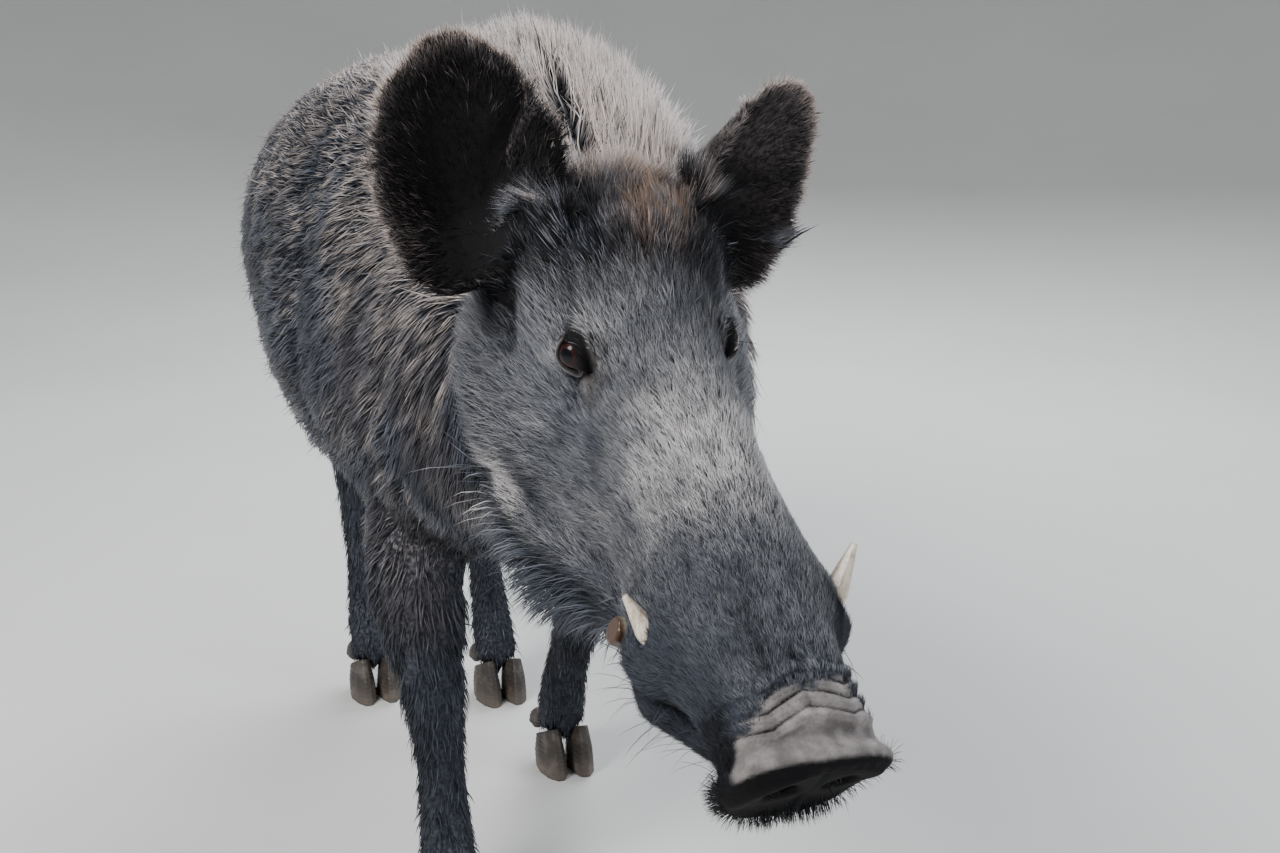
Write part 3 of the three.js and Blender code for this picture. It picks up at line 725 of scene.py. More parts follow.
def new_group(name, inputs, outputs):
    """A shader node group with named sockets. inputs and outputs map each name to its kind."""
    tree = bpy.data.node_groups.new(name, "ShaderNodeTree")
    for direction, sockets in (("INPUT", inputs), ("OUTPUT", outputs)):
        for socket, kind in sockets.items():
            tree.interface.new_socket(socket, in_out=direction, socket_type="NodeSocket" + kind)
    return tree, tree.nodes.new("NodeGroupInput").outputs, tree.nodes.new("NodeGroupOutput").inputs


def place_group(tree, group, sockets):
    made = tree.nodes.new("ShaderNodeGroup")
    made.node_tree = group
    for key, value in sockets.items():
        wire(tree, value, made.inputs[key])
    return made.outputs


BRISTLE_COLOURS = ("Root", "Shaft", "Tip", "Pale", "Rust", "Black")


def bristle_group():
    """Colour of hair from root to tip, by the markings it grows on, painted light and shade among them."""
    name = "Bristle colour"
    if name in bpy.data.node_groups:
        return bpy.data.node_groups[name]
    tree, given, result = new_group(
        name, {"Marks": "Color", "Along": "Float", "Shade": "Float", "Tip start": "Float",
               **dict.fromkeys(BRISTLE_COLOURS, "Color")},
        {"Colour": "Color"})
    split = node(tree, "SeparateColor", {0: given["Marks"]}).outputs
    pale, black, rust = split[0], split[1], split[2]
    along, shade = given["Along"], given["Shade"]
    colour = blend_colours(tree, step_between(tree, along, 0.0, 0.45), given["Root"], given["Shaft"])
    brown = maths(tree, "MULTIPLY", rust, step_between(tree, along, 0.15, 0.6))
    colour = blend_colours(tree, brown, colour, given["Rust"])
    reach = maths(tree, "MULTIPLY", maths(tree, "ADD", maths(tree, "MULTIPLY", pale, 1.35), 0.12),
                  maths(tree, "ADD", 0.25, maths(tree, "MULTIPLY", shade, 1.25)))
    end = maths(tree, "ADD", given["Tip start"], 0.6)
    tipped = maths(tree, "MULTIPLY", step_between(tree, along, given["Tip start"], end), reach, clamp=True)
    ends = blend_colours(tree, step_between(tree, pale, 0.45, 0.95), given["Tip"], given["Pale"])
    ends = blend_colours(tree, maths(tree, "MULTIPLY", rust, 0.85), ends, given["Rust"])
    colour = blend_colours(tree, tipped, colour, ends)
    # in black places only a few hairs stay pale
    few = maths(tree, "MULTIPLY", step_between(tree, shade, 0.68, 0.86, 1.0, 0.45), 0.97)
    colour = blend_colours(tree, maths(tree, "MULTIPLY", black, few), colour, given["Black"])
    dim = step_between(tree, shade, 0.05, 0.4, 0.22, 0.64)
    gain = maths(tree, "ADD", dim, maths(tree, "MULTIPLY", shade, 0.82))
    gain = node(tree, "CombineColor", {0: gain, 1: gain, 2: gain}).outputs[0]
    wire(tree, blend_colours(tree, 1.0, colour, gain, "MULTIPLY"), result["Colour"])
    return tree


def bristle_colour(tree, colours, along, shade, tip_start, **changed):
    """The colour of hair with the user's colours, by the markings and painted shading on its mesh."""
    chosen = {key: getattr(colours, key.lower()) for key in BRISTLE_COLOURS}
    chosen.update(changed)
    sockets = {"Marks": attribute(tree, "marks", "Color"), "Along": along, "Shade": shade,
               "Tip start": tip_start, **chosen}
    return place_group(tree, bristle_group(), sockets)["Colour"]


def grain_group():
    """Height of fine cracks, lines and pits, stretched along z by Stretch."""
    name = "Fine grain"
    if name in bpy.data.node_groups:
        return bpy.data.node_groups[name]
    tree, given, result = new_group(
        name, {"Vector": "Vector", "Size": "Float", "Stretch": "Vector", "Cells": "Float"},
        {"Height": "Float"})
    place = node(tree, "VectorMath", {0: given["Vector"], 1: given["Stretch"]}, operation="MULTIPLY")
    place = place.outputs[0]
    lines = noise_field(tree, place, given["Size"], 5.0, 0.6)
    cells = node(tree, "TexVoronoi", {"Vector": place, "Scale": given["Size"]}, feature="DISTANCE_TO_EDGE")
    cells = step_between(tree, cells.outputs[0], 0.0, 0.16)
    height = maths(tree, "ADD", lines, maths(tree, "MULTIPLY", cells, given["Cells"]))
    wire(tree, height, result["Height"])
    return tree


def grain(tree, place, size, stretch, cells):
    sockets = {"Vector": place, "Size": size, "Stretch": stretch, "Cells": cells}
    return place_group(tree, grain_group(), sockets)["Height"]


def new_material(name, roughness, **constants):
    """A material with constants on its shader's own sockets. Returns it, its tree and its shader."""
    made = bpy.data.materials.new(name)
    made.use_nodes = True
    shader = made.node_tree.nodes["Principled BSDF"]
    shader.inputs["Roughness"].default_value = roughness
    for key, value in constants.items():
        shader.inputs[key.replace("_", " ")].default_value = value
    return made, made.node_tree, shader


def bump(tree, shader, height, distance, strength=1.0):
    made = node(tree, "Bump", {"Height": height, "Distance": distance, "Strength": strength})
    wire(tree, made.outputs[0], shader.inputs["Normal"])


def bristle_material(name, colours, roughness=0.5, tip_start=0.35, **changed):
    made, tree, shader = new_material(name, roughness, Specular_IOR_Level=0.16)
    along, shade = attribute(tree, "along"), attribute(tree, "shade")
    colour = bristle_colour(tree, colours, along, shade, tip_start, **changed)
    wire(tree, colour, shader.inputs["Base Color"])
    return made


def skin_material(colours):
    """Hide with the markings and painted shading it shares with the coat, and bare wrinkled skin where they
    say so.
    """
    made, tree, shader = new_material("hide", 0.62, Specular_IOR_Level=0.12)
    place = object_place(tree)
    painted = attribute(tree, "marks", "Color")
    bare, dark = attribute(tree, "marks", "Alpha"), node(tree, "SeparateColor", {0: painted}).outputs[1]
    mottle = step_between(tree, noise_field(tree, place, 260.0, 4.0), 0.3, 0.75, 0.15, 0.8)
    furred = bristle_colour(tree, colours, mottle, 0.36, 0.3)
    covered = blend_colours(tree, step_between(tree, dark, 0.3, 0.9, 0.2, 0.0), furred, colours.hide)
    pits = grain(tree, place, 700.0, (1, 1, 1), 0.35)
    blotched = step_between(tree, noise_field(tree, place, 90.0, 4.0), 0.35, 0.7)
    nose = blend_colours(tree, blotched, scaled(colours.nose, 0.55), colours.nose)
    in_pits = step_between(tree, pits, 0.35, 0.7, 0.35, 0.0)
    nose = blend_colours(tree, in_pits, nose, scaled(colours.nose, 0.4))
    # the black channel darkens the bare skin: the lids' own black, and painted shade on the disc and in the
    # creases
    nose = blend_colours(tree, dark, nose, colours.black)
    wire(tree, blend_colours(tree, bare, covered, nose), shader.inputs["Base Color"])
    moist = maths(tree, "MULTIPLY", bare, step_between(tree, dark, 0.2, 0.8, 0.32, -0.1))
    wire(tree, maths(tree, "SUBTRACT", 0.74, moist), shader.inputs["Roughness"])
    bump(tree, shader, pits, 0.0006, 0.8)
    return made


def eye_material(colours):
    made, tree, shader = new_material("eye", 0.2, Specular_IOR_Level=0.1, Coat_Weight=0.6,
                                      Coat_Roughness=0.015, Coat_IOR=1.3)
    polar, place = attribute(tree, "polar"), object_place(tree)
    streaks = noise_field(tree, place, 900.0, 2.0)
    iris = blend_colours(tree, streaks, scaled(colours.iris, 0.6), scaled(colours.iris, 1.4))
    iris = blend_colours(tree, step_between(tree, polar, 0.52, 0.72), iris, scaled(colours.iris, 0.2))
    eye = blend_colours(tree, step_between(tree, polar, 0.34, 0.42), (0.002, 0.002, 0.003), iris)
    veined = step_between(tree, noise_field(tree, place, 400.0), 0.4, 0.7)
    white = blend_colours(tree, veined, (0.07, 0.055, 0.05), (0.035, 0.02, 0.018))
    eye = blend_colours(tree, step_between(tree, polar, 0.78, 0.88), eye, white)
    wire(tree, eye, shader.inputs["Base Color"])
    return made


def tusk_material(colours):
    made, tree, shader = new_material("ivory", 0.34, Specular_IOR_Level=0.5, Coat_Weight=0.25,
                                      Coat_Roughness=0.2)
    place, along = object_place(tree), attribute(tree, "along")
    cracks = grain(tree, place, 330.0, (1, 1, 0.16), 0.12)
    stain = maths(tree, "ADD", step_between(tree, along, 0.75, 0.2, 0.0, 0.8),
                  step_between(tree, noise_field(tree, place, 130.0), 0.45, 0.7, -0.1, 0.4), clamp=True)
    colour = blend_colours(tree, stain, colours.ivory, (0.24, 0.14, 0.06))
    cracked = step_between(tree, cracks, 0.42, 0.62, 0.45, 0.0)
    colour = blend_colours(tree, cracked, colour, (0.22, 0.15, 0.09))
    colour = blend_colours(tree, attribute(tree, "worn"), colour, (0.055, 0.025, 0.012))
    wire(tree, colour, shader.inputs["Base Color"])
    bump(tree, shader, cracks, 0.0004, 0.7)
    return made


def horn_material(colours):
    made, tree, shader = new_material("hoof_horn", 0.5, Specular_IOR_Level=0.45)
    place = object_place(tree)
    rings = grain(tree, place, 120.0, (0.5, 0.5, 5.0), 0.1)
    dust = step_between(tree, noise_field(tree, place, 55.0), 0.45, 0.75)
    low = step_between(tree, node(tree, "SeparateXYZ", {0: place}).outputs[2], 0.03, 0.0)
    dusty = maths(tree, "MULTIPLY", maths(tree, "ADD", dust, low), 0.5)
    colour = blend_colours(tree, dusty, colours.horn, (0.16, 0.13, 0.105))
    wire(tree, colour, shader.inputs["Base Color"])
    wire(tree, step_between(tree, rings, 0.3, 0.8, 0.4, 0.7), shader.inputs["Roughness"])
    bump(tree, shader, rings, 0.0008, 0.8)
    return made


def floor_material(colour):
    made, tree, shader = new_material("floor", 0.85)
    shade = step_between(tree, noise_field(tree, object_place(tree), 1.2, 4.0), 0.3, 0.7)
    wire(tree, blend_colours(tree, shade, scaled(colour, 0.95), colour), shader.inputs["Base Color"])
    return made


# ---------------------------------------------------------------- sizes a user would change

def size_property(name, description, default):
    return bpy.props.FloatProperty(name=name, description=description, default=default,
                                   min=0, soft_max=0.2, precision=4, unit="LENGTH")


def colour_property(name, description, default):
    return bpy.props.FloatVectorProperty(name=name, description=description, default=default,
                                         min=0, max=1, size=3, subtype="COLOR")


class BOAR_PG_coat(bpy.types.PropertyGroup):
    """Depth and length of the coat."""

    mane_depth: size_property("Mane depth", "Depth of the standing mane over the shoulders", 0.036)
    back_depth: size_property("Back depth", "Depth of the coat along the back", 0.028)
    flank_depth: size_property("Flank depth", "Depth of the coat on the flanks and neck", 0.021)
    leg_depth: size_property("Leg depth", "Depth of the short coat on the legs", 0.006)
    face_depth: size_property("Face depth", "Depth of the short hair of the face", 0.0032)
    flank_length: size_property("Flank length", "Length of the bristles on the flanks", 0.052)
    mane_length: size_property("Mane length", "Length of the bristles of the mane", 0.058)
    face_length: size_property("Face length", "Length of the hair on the forehead and cheeks", 0.0105)
    share: bpy.props.FloatProperty(name="Fullness", description="Share of the full number of tufts",
                                   default=1.0, min=0.05, max=1.0, subtype="FACTOR")


class BOAR_PG_colours(bpy.types.PropertyGroup):
    """Colours of the coat, the bare skin, the horn and the eyes."""

    root: colour_property("Root", "Bristles where they leave the skin", (0.010, 0.009, 0.009))
    shaft: colour_property("Shaft", "Main colour of the bristles", (0.036, 0.044, 0.062))
    tip: colour_property("Tip", "Split tips of the bristles", (0.29, 0.304, 0.352))
    pale: colour_property("Pale", "Silvery bristles of the crown and back", (0.50, 0.44, 0.41))
    face_tip: colour_property("Face tip", "Tips of the hair of the face", (0.265, 0.266, 0.278))
    face_pale: colour_property("Face pale", "Pale hair of the bridge of the nose and the cheek",
                               (0.56, 0.54, 0.54))
    rust: colour_property("Rust", "Rusty bristles between the ears", (0.28, 0.17, 0.10))
    # Black is also the colour of the shade painted under the disc, in the face's creases and hollows and
    # beside the ears
    black: colour_property("Black", "Legs, ears and lips", (0.005, 0.005, 0.006))
    hide: colour_property("Hide", "Skin under the coat", (0.040, 0.036, 0.036))
    nose: colour_property("Nose", "Bare skin of the rooting disc", (0.36, 0.33, 0.32))
    iris: colour_property("Iris", "The iris of the eye", (0.022, 0.006, 0.005))
    ivory: colour_property("Ivory", "Clean enamel of the tusks", (0.72, 0.64, 0.52))
    horn: colour_property("Horn", "Horn of the hooves", (0.035, 0.029, 0.025))


class BOAR_PG_studio(bpy.types.PropertyGroup):
    """The floor and the lights."""

    floor: colour_property("Floor", "Colour of the floor", (0.70, 0.695, 0.68))
    key: bpy.props.FloatProperty(name="Key light", description="Power of the large overhead light",
                                 default=138.0, min=0, unit="POWER")
    fill: bpy.props.FloatProperty(name="Fill", description="Strength of the light all round",
                                  default=0.42, min=0)


def settings():
    scene = bpy.context.scene
    return scene.boar_coat, scene.boar_colours, scene.boar_studio


# ---------------------------------------------------------------- the skin

SKIN = {}    # what the coat needs to know of the finished skin, at each of its points
SKIN_VOXEL = 3 * MM
SKIN_TRIANGLES = 186000


def fine_places(points, masks):
    """True where the skin needs small faces: round the eyes, on the nose and at the lips."""
    ring, _, _ = eye_ring(points)
    lips = (np.abs(masks["up"] - MOUTH_UP) < 14 * MM) & (masks["ahead"] > MOUTH_CORNER - 8 * MM)
    nose = masks["disc_out"] > -52 * MM
    return ((ring < 20 * MM) | nose | lips) & (masks["head"] > 0.5)


def refine(mesh, chosen):
    """Cuts every face whose corners are all chosen into four."""
    work = bmesh.new()
    work.from_mesh(mesh)
    work.verts.ensure_lookup_table()
    edges = [e for e in work.edges if chosen[e.verts[0].index] and chosen[e.verts[1].index]]
    bmesh.ops.subdivide_edges(work, edges=edges, cuts=1, use_grid_fill=True)
    work.to_mesh(mesh)
    work.free()


def reduce_to(mesh, weights, triangles):
    """Takes faces out of a mesh where weights are high until about that many triangles are left."""
    obj = show(mesh, "reducing")
    group = obj.vertex_groups.new(name="reduce")
    for level in np.unique(np.round(weights, 1)):
        group.add(np.where(np.round(weights, 1) == level)[0].tolist(), float(level), "REPLACE")
    now = sum(len(p.vertices) - 2 for p in mesh.polygons)
    result = baked(obj, DECIMATE={"ratio": min(1, triangles / now), "vertex_group": "reduce",
                                  "vertex_group_factor": 10.0})
    bpy.data.objects.remove(obj)
    return result


def bare_marks(local, way, masks, eye, small, black):
    """The bare skin of the nose and the lids, and how black the skin is with it, with shade painted on and
    under the disc.
    """
    x, head, plate = local[:, 0], masks["head"], masks["plate"]
    disc_out, disc_up = masks["disc_out"], masks["disc_up"]
    ring, angles, tear = eye
    # the end of the nose, further back on top than at the sides
    reach = -37 * MM + 17 * MM * smooth(0.35, 0.85, np.abs(way[:, 0])) + 5 * MM * small
    bare = smooth(reach, reach + 6 * MM, disc_out) * smooth(-0.55, -0.2, way[:, 2] + plate) * head
    upper = upper_lid(angles)
    lid_reach = (5.6 + 5.2 * upper) * MM
    lids = smooth(lid_reach, lid_reach - 2 * MM, ring)
    bare = np.maximum(bare, lids)
    # painted shade: the creases of the folds, the skin under the disc's rim and the pad's right side are
    # darkened as shade, and the disc's flat face partly as shade and partly for its own dark wet skin; the
    # blotches are the skin's own
    crease = nose_folds(local, masks, way)[1]
    under = smooth(6 * MM, -7 * MM, disc_up + 0.24 * x) * smooth(-52 * MM, -34 * MM, disc_out)
    bare = bare * (1 - 0.7 * under * (1 - plate) * (1 - lids))
    blotch = 0.06 * smooth(0.0, 0.6, noise(local, 0.011, 18))
    blotch = blotch + 0.10 * smooth(0.1, 0.6, noise(local, 0.005, 19))
    blotches_and_shade = crease + blotch + 1.2 * plate + 0.98 * under + 0.28 * smooth(-6 * MM, -28 * MM, x)
    black = np.maximum(black * (1 - bare), 0.9 * under * head) + bare * np.clip(blotches_and_shade, 0, 1)
    # the lids' black skin with a pale edge, and the tear crease: dark skin, darker still along its line as
    # painted shade
    pale_lid = (1 - upper) * bell(ring, 1.6 * MM, 1.7 * MM) + 0.75 * upper * bell(ring, 9 * MM, 1.6 * MM)
    lid_black = 0.98 - 0.10 * (1 - upper) * smooth(2 * MM, 4 * MM, ring) - 0.8 * pale_lid
    black = black + (np.clip(lid_black, 0, 1) - black) * lids
    tear_black = head * (0.62 + 0.3 * bell(tear, 0, 1.5 * MM)) * smooth(10 * MM, 5 * MM, tear)
    black = np.maximum(black, tear_black * (1 - lids))
    bare = np.maximum(bare, 0.7 * head * smooth(6 * MM, 2 * MM, tear) * (1 - lids))
    round_lids = head * (0.35 + 0.35 * upper) * (1 - lids)
    black = np.maximum(black, round_lids * bell(ring, (6 + 4 * upper) * MM, 5 * MM))
    return black, bare


def marks(points, normals, masks, ears, places):
    """The markings that skin and coat share, with painted light and shade among them: how pale, how black,
    how rusty and how bare.
    """
    local = to_head(points)
    x, side, ahead, up = local[:, 0], masks["side"], masks["ahead"], masks["up"]
    way = normals @ HEAD_TURN
    head, ear_root = masks["head"], masks["ear_root"]
    ear = np.maximum(ears["left"], ears["right"])
    eye = eye_ring(points)
    on_side = smooth(0.3, 0.6, np.abs(way[:, 0]))
    patch = noise(points, 0.055, 11)
    small = noise(points, 0.016, 12)
    y = points[:, 1]

    # pale: tips on the body in locks, most along the back, and more where the coat faces up: partly pale
    # tips, partly painted light from above
    top = smooth(0.05, 0.6, normals[:, 2])
    nape = smooth(0.0, -0.2, y) * smooth(-0.1, 0.35, normals[:, 2])
    locks = noise(points * np.array([1, 0.45, 0.8]), 0.022, 16)
    pale = 0.30 + 0.16 * patch + 0.52 * smooth(-0.1, 0.5, locks) * (1 - masks["belly"])
    pale = pale + 0.34 * masks["ridge"] + 0.44 * top + 0.42 * nape
    pale = pale + 0.16 * smooth(0.0, 0.25, y) * smooth(-0.2, 0.4, patch)
    pale = pale * (1 - 0.7 * masks["leg"])
    # pale: the bridge of the nose, the patch on the cheek, the brows and the crown
    face = 0.50 + 0.12 * patch + 0.18 * small - 0.10 * smooth(-0.07, -0.03, up) * smooth(0.09, 0.05, ahead)
    # darker in front of and below the eye where the face turns sideways: partly the coat's colour, partly
    # painted shade
    face = face - 0.30 * bell(ahead, 40 * MM, 32 * MM) * bell(up, -48 * MM, 30 * MM) * on_side
    face = face + 0.42 * bell(ahead, 120 * MM, 50 * MM) * smooth(-0.05, -0.02, up) * smooth(0.06, 0.03, side)
    face = face - 0.26 * smooth(0.15, 0.2, ahead)
    face = face - 0.34 * smooth(0.13, 0.22, ahead) * smooth(-0.035, -0.07, up)
    # painted shade in a hollow of the cheek, here and in the black below
    hollow = bell(ahead, 4 * MM, 15 * MM) * bell(up, -126 * MM, 20 * MM) * on_side
    face = face - 0.45 * hollow
    pale_cheek = bell(ahead, -26 * MM, 19 * MM) * bell(up, -150 * MM, 22 * MM)
    face = face + 1.1 * pale_cheek
    face = face - 0.52 * masks["jaw"] * (1 - pale_cheek)
    brows = bell(eye[0], 15 * MM, 9 * MM) * smooth(-0.02, 0.02, up)
    pale = pale + (face + 0.15 * brows - pale) * head
    crown = 0.62 * head * smooth(-0.04, -0.09, ahead) * smooth(0.02, 0.06, up)
    pale = pale + crown * smooth(0.13, 0.07, side)
    pale = pale * (1 - 0.9 * ear)

    # black: legs, belly and patches on the body
    dark_patch = 0.35 * smooth(0.2, -0.5, patch) * (1 - head) * (1 - 0.9 * np.maximum(top, nape))
    black = masks["leg"] * 0.28 + dark_patch
    black = black + 0.5 * masks["belly"]
    # black: the forehead and the crown round their golden streak, and the roots of the ears, partly dark hair
    # and partly painted shadow of the ears
    streak = smooth(-0.4, 0.5, noise(local * np.array([2.5, 1, 1]), 0.024, 13))
    forehead = smooth(0.034, -0.030, ahead) * smooth(0.004, 0.045, up) * smooth(-0.09, -0.05, ahead)
    golden = smooth(-34 * MM, 8 * MM, x) * smooth(60 * MM, 28 * MM, x) * smooth(0.006, -0.04, ahead)
    golden = golden * smooth(-0.17, -0.11, ahead) * smooth(0.03, 0.055, up) * (1 - ear)
    golden = golden * (0.3 + 0.7 * smooth(-0.35, 0.25, noise(local * np.array([3.2, 0.8, 0.8]), 0.018, 17)))
    forehead = head * forehead * smooth(0.09, 0.06, side) * (0.86 + 0.14 * streak)
    black = black + forehead * (1 - 0.6 * golden)
    streaked = 0.3 * head * streak * smooth(-0.04, -0.07, ahead) * smooth(0.05, 0.07, up)
    black = black + streaked * (1 - 0.5 * golden)
    # painted shadow of the ears on the crown just inside them
    ear_shadow = smooth(44 * MM, 58 * MM, side) * smooth(-0.14, -0.12, ahead) * smooth(-0.03, -0.06, ahead)
    ear_shadow = ear_shadow * smooth(0.02, 0.045, up) * (1 - ear)
    black = black + 0.97 * ear_root
    black = black + 0.95 * ear_shadow
    pale = pale * (1 - 0.75 * ear_root)
    pale = pale * (1 - 0.75 * ear_shadow)
    # black: lines of the face, and painted shade in its hollow, behind the cheek, on the muzzle's far side
    # and in the temple crease
    black = black + 0.4 * hollow * head
    # painted shadow along the cheek's rear edge, where it stands over the neck
    cheek = bell(ahead + 72 * MM - 0.2 * (up + 150 * MM), 0, 9 * MM) * bell(up, -150 * MM, 42 * MM)
    black = (black + 0.75 * cheek * on_side) * (1 - 0.9 * pale_cheek)
    # painted shade on the side of the muzzle turned from the light
    far_side_shade = smooth(22 * MM, 44 * MM, x) * smooth(0.11, 0.16, ahead)
    furrow = bell(x, -20 * MM, 7 * MM) * bell(ahead, 240 * MM, 26 * MM)
    black = black + head * (0.5 * far_side_shade + 0.6 * furrow)
    black = black + 0.45 * head * smooth(-0.105, -0.125, up) * smooth(0.16, 0.2, ahead)
    # painted shade in the crease from the temple up to the ear
    temple = bell(temple_line(ahead, up), 0, 10 * MM) * smooth(-0.045, -0.02, up)
    black = black + 0.95 * head * temple * smooth(40 * MM, 60 * MM, side) * smooth(0.06, 0.035, up)
    black = black + 0.35 * head * smooth(-0.075, -0.1, ahead) * smooth(0.0, -0.04, up)

    # the ears: black, with a pale fringe along their rims and a greyer left cup
    rim = np.zeros(len(points))
    for name in EARS:
        rise, width = places[name]
        share, edge = rise / EAR_SKIN_LENGTH, ear_edge(rise, width)
        base, _, _, front = ear_frame(name)
        rim = np.maximum(rim, ears[name] * smooth(0.72, 0.98, edge))
        behind = ears[name] * smooth(0.1, -0.3, dot(normals, head_way(front)))
        grey = ears[name] * smooth(0.2, 0.75, share) * (name == "left")
        low = ears[name] * smooth(0.34, 0.12, share) * smooth(0.5, 0.95, edge)
        low = low * smooth(-15 * MM, 5 * MM, side - abs(base[0]))
        tip = (0.85 if name == "left" else 0.2) * smooth(0.55, 0.95, share)
        pale = pale + 0.25 * behind + 0.32 * grey
        pale = pale + rim * (0.36 + tip) + 0.42 * low
        black = black - 0.4 * behind - 0.52 * grey - 0.55 * low
    black = black + ear * (0.99 - 0.74 * rim)

    rust = 0.14 * smooth(0.15, 0.6, noise(points, 0.09, 14)) * (1 - head)
    rust = rust + 0.9 * golden + 0.35 * np.maximum(rim, ear)
    black, bare = bare_marks(local, way, masks, eye, small, black)
    return np.clip(np.stack([pale, black, rust, bare], axis=1), 0, 1)


def write_marks(mesh, values):
    attribute = mesh.attributes.new("marks", "FLOAT_COLOR", "POINT")
    attribute.data.foreach_set("color", np.asarray(values, np.float32).ravel())


def write_value(mesh, name, values):
    attribute = mesh.attributes.new(name, "FLOAT", "POINT")
    attribute.data.foreach_set("value", np.asarray(values, np.float32))


def add_piece(mesh, material, slot, *replaced, name=None):
    """Puts a finished mesh on the frame as one piece, in place of the CAD nodes it replaces."""
    mesh.materials.append(material)
    obj = show(mesh, name)
    if replaced:
        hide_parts(*replaced)
    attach(obj, "root")


def build_skin(coat):
    """The skin's mesh: the solids joined, evened out, drawn in by the depth of the coat and folded."""
    mesh = joined(FLESH + ["eye_left", "eye_right"], "flesh", SKIN_VOXEL)
    quads = pulled(mesh.polygons, "vertices", 4, np.int32)
    points, quads = largest_shell(coordinates(mesh), mesh_edges(mesh), quads)
    mesh = plain_mesh("skin", points, quads)
    edges, corners = mesh_edges(mesh), corner_table(mesh)

    normals = point_normals(points, corners)
    ears, _ = ear_masks(points, 5 * MM)
    masks = regions(points, normals)
    ear = np.maximum(ears["left"], ears["right"])
    points = relax(points, edges, (1 - masks["head"]) * (1 - ear), 50)
    points = relax(points, edges, 0.9 * masks["head"] * (1 - 0.6 * masks["disc"]) * (1 - ear), 10)
    points = relax(points, edges, 1 - ear, 16, keep_size=True)
    points = relax(points, edges, ear, 5)
    normals = unit(relax(point_normals(points, corners), edges, 1.0, 12))
    masks = regions(points, normals)
    depth = coat_depth(points, masks, ears, coat)
    depth = relax(np.repeat(depth[:, None], 3, axis=1), edges, 1 - ear, 12)[:, :1]
    points = points - normals * depth
    points = relax(points, edges, 1 - 0.8 * ear, 6)
    points = draw_in_ears(points, ears)

    move_points(mesh, points)
    refine(mesh, fine_places(points, masks))
    points, edges, corners = coordinates(mesh), mesh_edges(mesh), corner_table(mesh)
    normals = point_normals(points, corners)
    ears, _ = ear_masks(points)
    masks = regions(points, normals)
    fine = fine_places(points, masks)
    points = relax(points, edges, 0.9 * fine, 6, keep_size=True)
    normals = unit(relax(point_normals(points, corners), edges, 1.0, 4))
    points = points + normals * folds(points, normals, masks, ears)[:, None]
    points = eyelids(points)
    points = relax(points, edges, 0.35 * fine, 2, keep_size=True)
    points = eyelids(points)

    move_points(mesh, points)
    keep = np.maximum(masks["head"], np.maximum(ears["left"], ears["right"]))
    mesh = reduce_to(mesh, 1 - np.clip(keep, 0, 1), SKIN_TRIANGLES)

    rims = plain_mesh("rims", *lid_rims())
    work = bmesh.new()
    work.from_mesh(mesh)
    work.from_mesh(rims)
    work.to_mesh(mesh)
    work.free()
    bpy.data.meshes.remove(rims)
    mesh.name = "skin"
    mesh.shade_smooth()
    return mesh


class BOAR_OT_skin(bpy.types.Operator):
    """Build the one skin of the boar, inside its solids by the depth of the coat"""

    bl_idname = "boar.skin"
    bl_label = "Skin"

    def execute(self, context):
        coat, colours, _ = settings()
        mesh = build_skin(coat)
        points = coordinates(mesh)
        normals = point_normals(points, corner_table(mesh))
        ears, places = ear_masks(points)
        SKIN["marks"] = marks(points, normals, regions(points, normals), ears, places)
        write_marks(mesh, SKIN["marks"])
        add_piece(mesh, skin_material(colours), "face_hair", *FLESH, name="skin")
        return {"FINISHED"}


# ---------------------------------------------------------------- eyes, tusks and hooves

def round_ball(sides, steps):
    """Points and triangles of a ball of radius 1, with its poles on z, always in the same order."""
    polar = np.pi * np.arange(1, steps) / steps
    angle = 2 * np.pi * np.arange(sides) / sides
    rings = np.stack([np.outer(np.sin(polar), np.cos(angle)), np.outer(np.sin(polar), np.sin(angle)),
                      np.outer(np.cos(polar), np.ones(sides))], axis=-1).reshape(-1, 3)
    i, j = (grid.ravel() for grid in np.meshgrid(np.arange(steps - 2), np.arange(sides), indexing="ij"))
    after = (j + 1) % sides
    quads = np.stack([i * sides + j, (i + 1) * sides + j, (i + 1) * sides + after, i * sides + after], axis=1)
    first, pole = np.arange(sides), np.full(sides, len(rings))
    last = first + (steps - 2) * sides
    caps = [np.stack([pole, first, np.roll(first, -1)], axis=1),
            np.stack([pole + 1, np.roll(last, -1), last], axis=1)]
    triangles = np.concatenate([quads[:, [0, 1, 2]], quads[:, [0, 2, 3]], *caps])
    return np.concatenate([rings, [[0, 0, 1], [0, 0, -1]]]), triangles


class BOAR_OT_eyes(bpy.types.Operator):
    """Build the two eyeballs, each with its iris, pupil and cornea"""

    bl_idname = "boar.eyes"
    bl_label = "Eyes"

    def execute(self, context):
        material = eye_material(settings()[1])
        ball, triangles = round_ball(48, 40)
        polar = np.arccos(np.clip(ball[:, 2], -1, 1))
        cornea = 1 + 0.055 * smooth(0.72, 0.35, polar)
        local = ball * (EYE_RADIUS * cornea)[:, None]
        # the pupil is wider than it is high
        high = 0.18 * np.abs(ball[:, 1]) / np.maximum(np.sin(polar), 1e-6) * smooth(0.5, 0.2, polar)
        for side, name in ((-1, "right"), (1, "left")):
            centre, gaze, ahead, up = eye_frame(side)
            points = centre + local[:, :1] * ahead + local[:, 1:2] * up + local[:, 2:] * gaze
            outwards = triangles[:, ::-1] if side > 0 else triangles
            mesh = plain_mesh(f"eyeball_{name}", from_head(points), outwards)
            write_value(mesh, "polar", polar * (1 + high))
            add_piece(mesh, material, "eye", f"eye_{name}")
        return {"FINISHED"}


def rounded(nodes, name, voxel, evening):
    """Some CAD nodes as one finely meshed piece with its facets evened out."""
    mesh = joined(nodes, name, voxel)
    move_points(mesh, relax(coordinates(mesh), mesh_edges(mesh), 1.0, evening, keep_size=True))
    mesh.name = name
    mesh.shade_smooth()
    return mesh


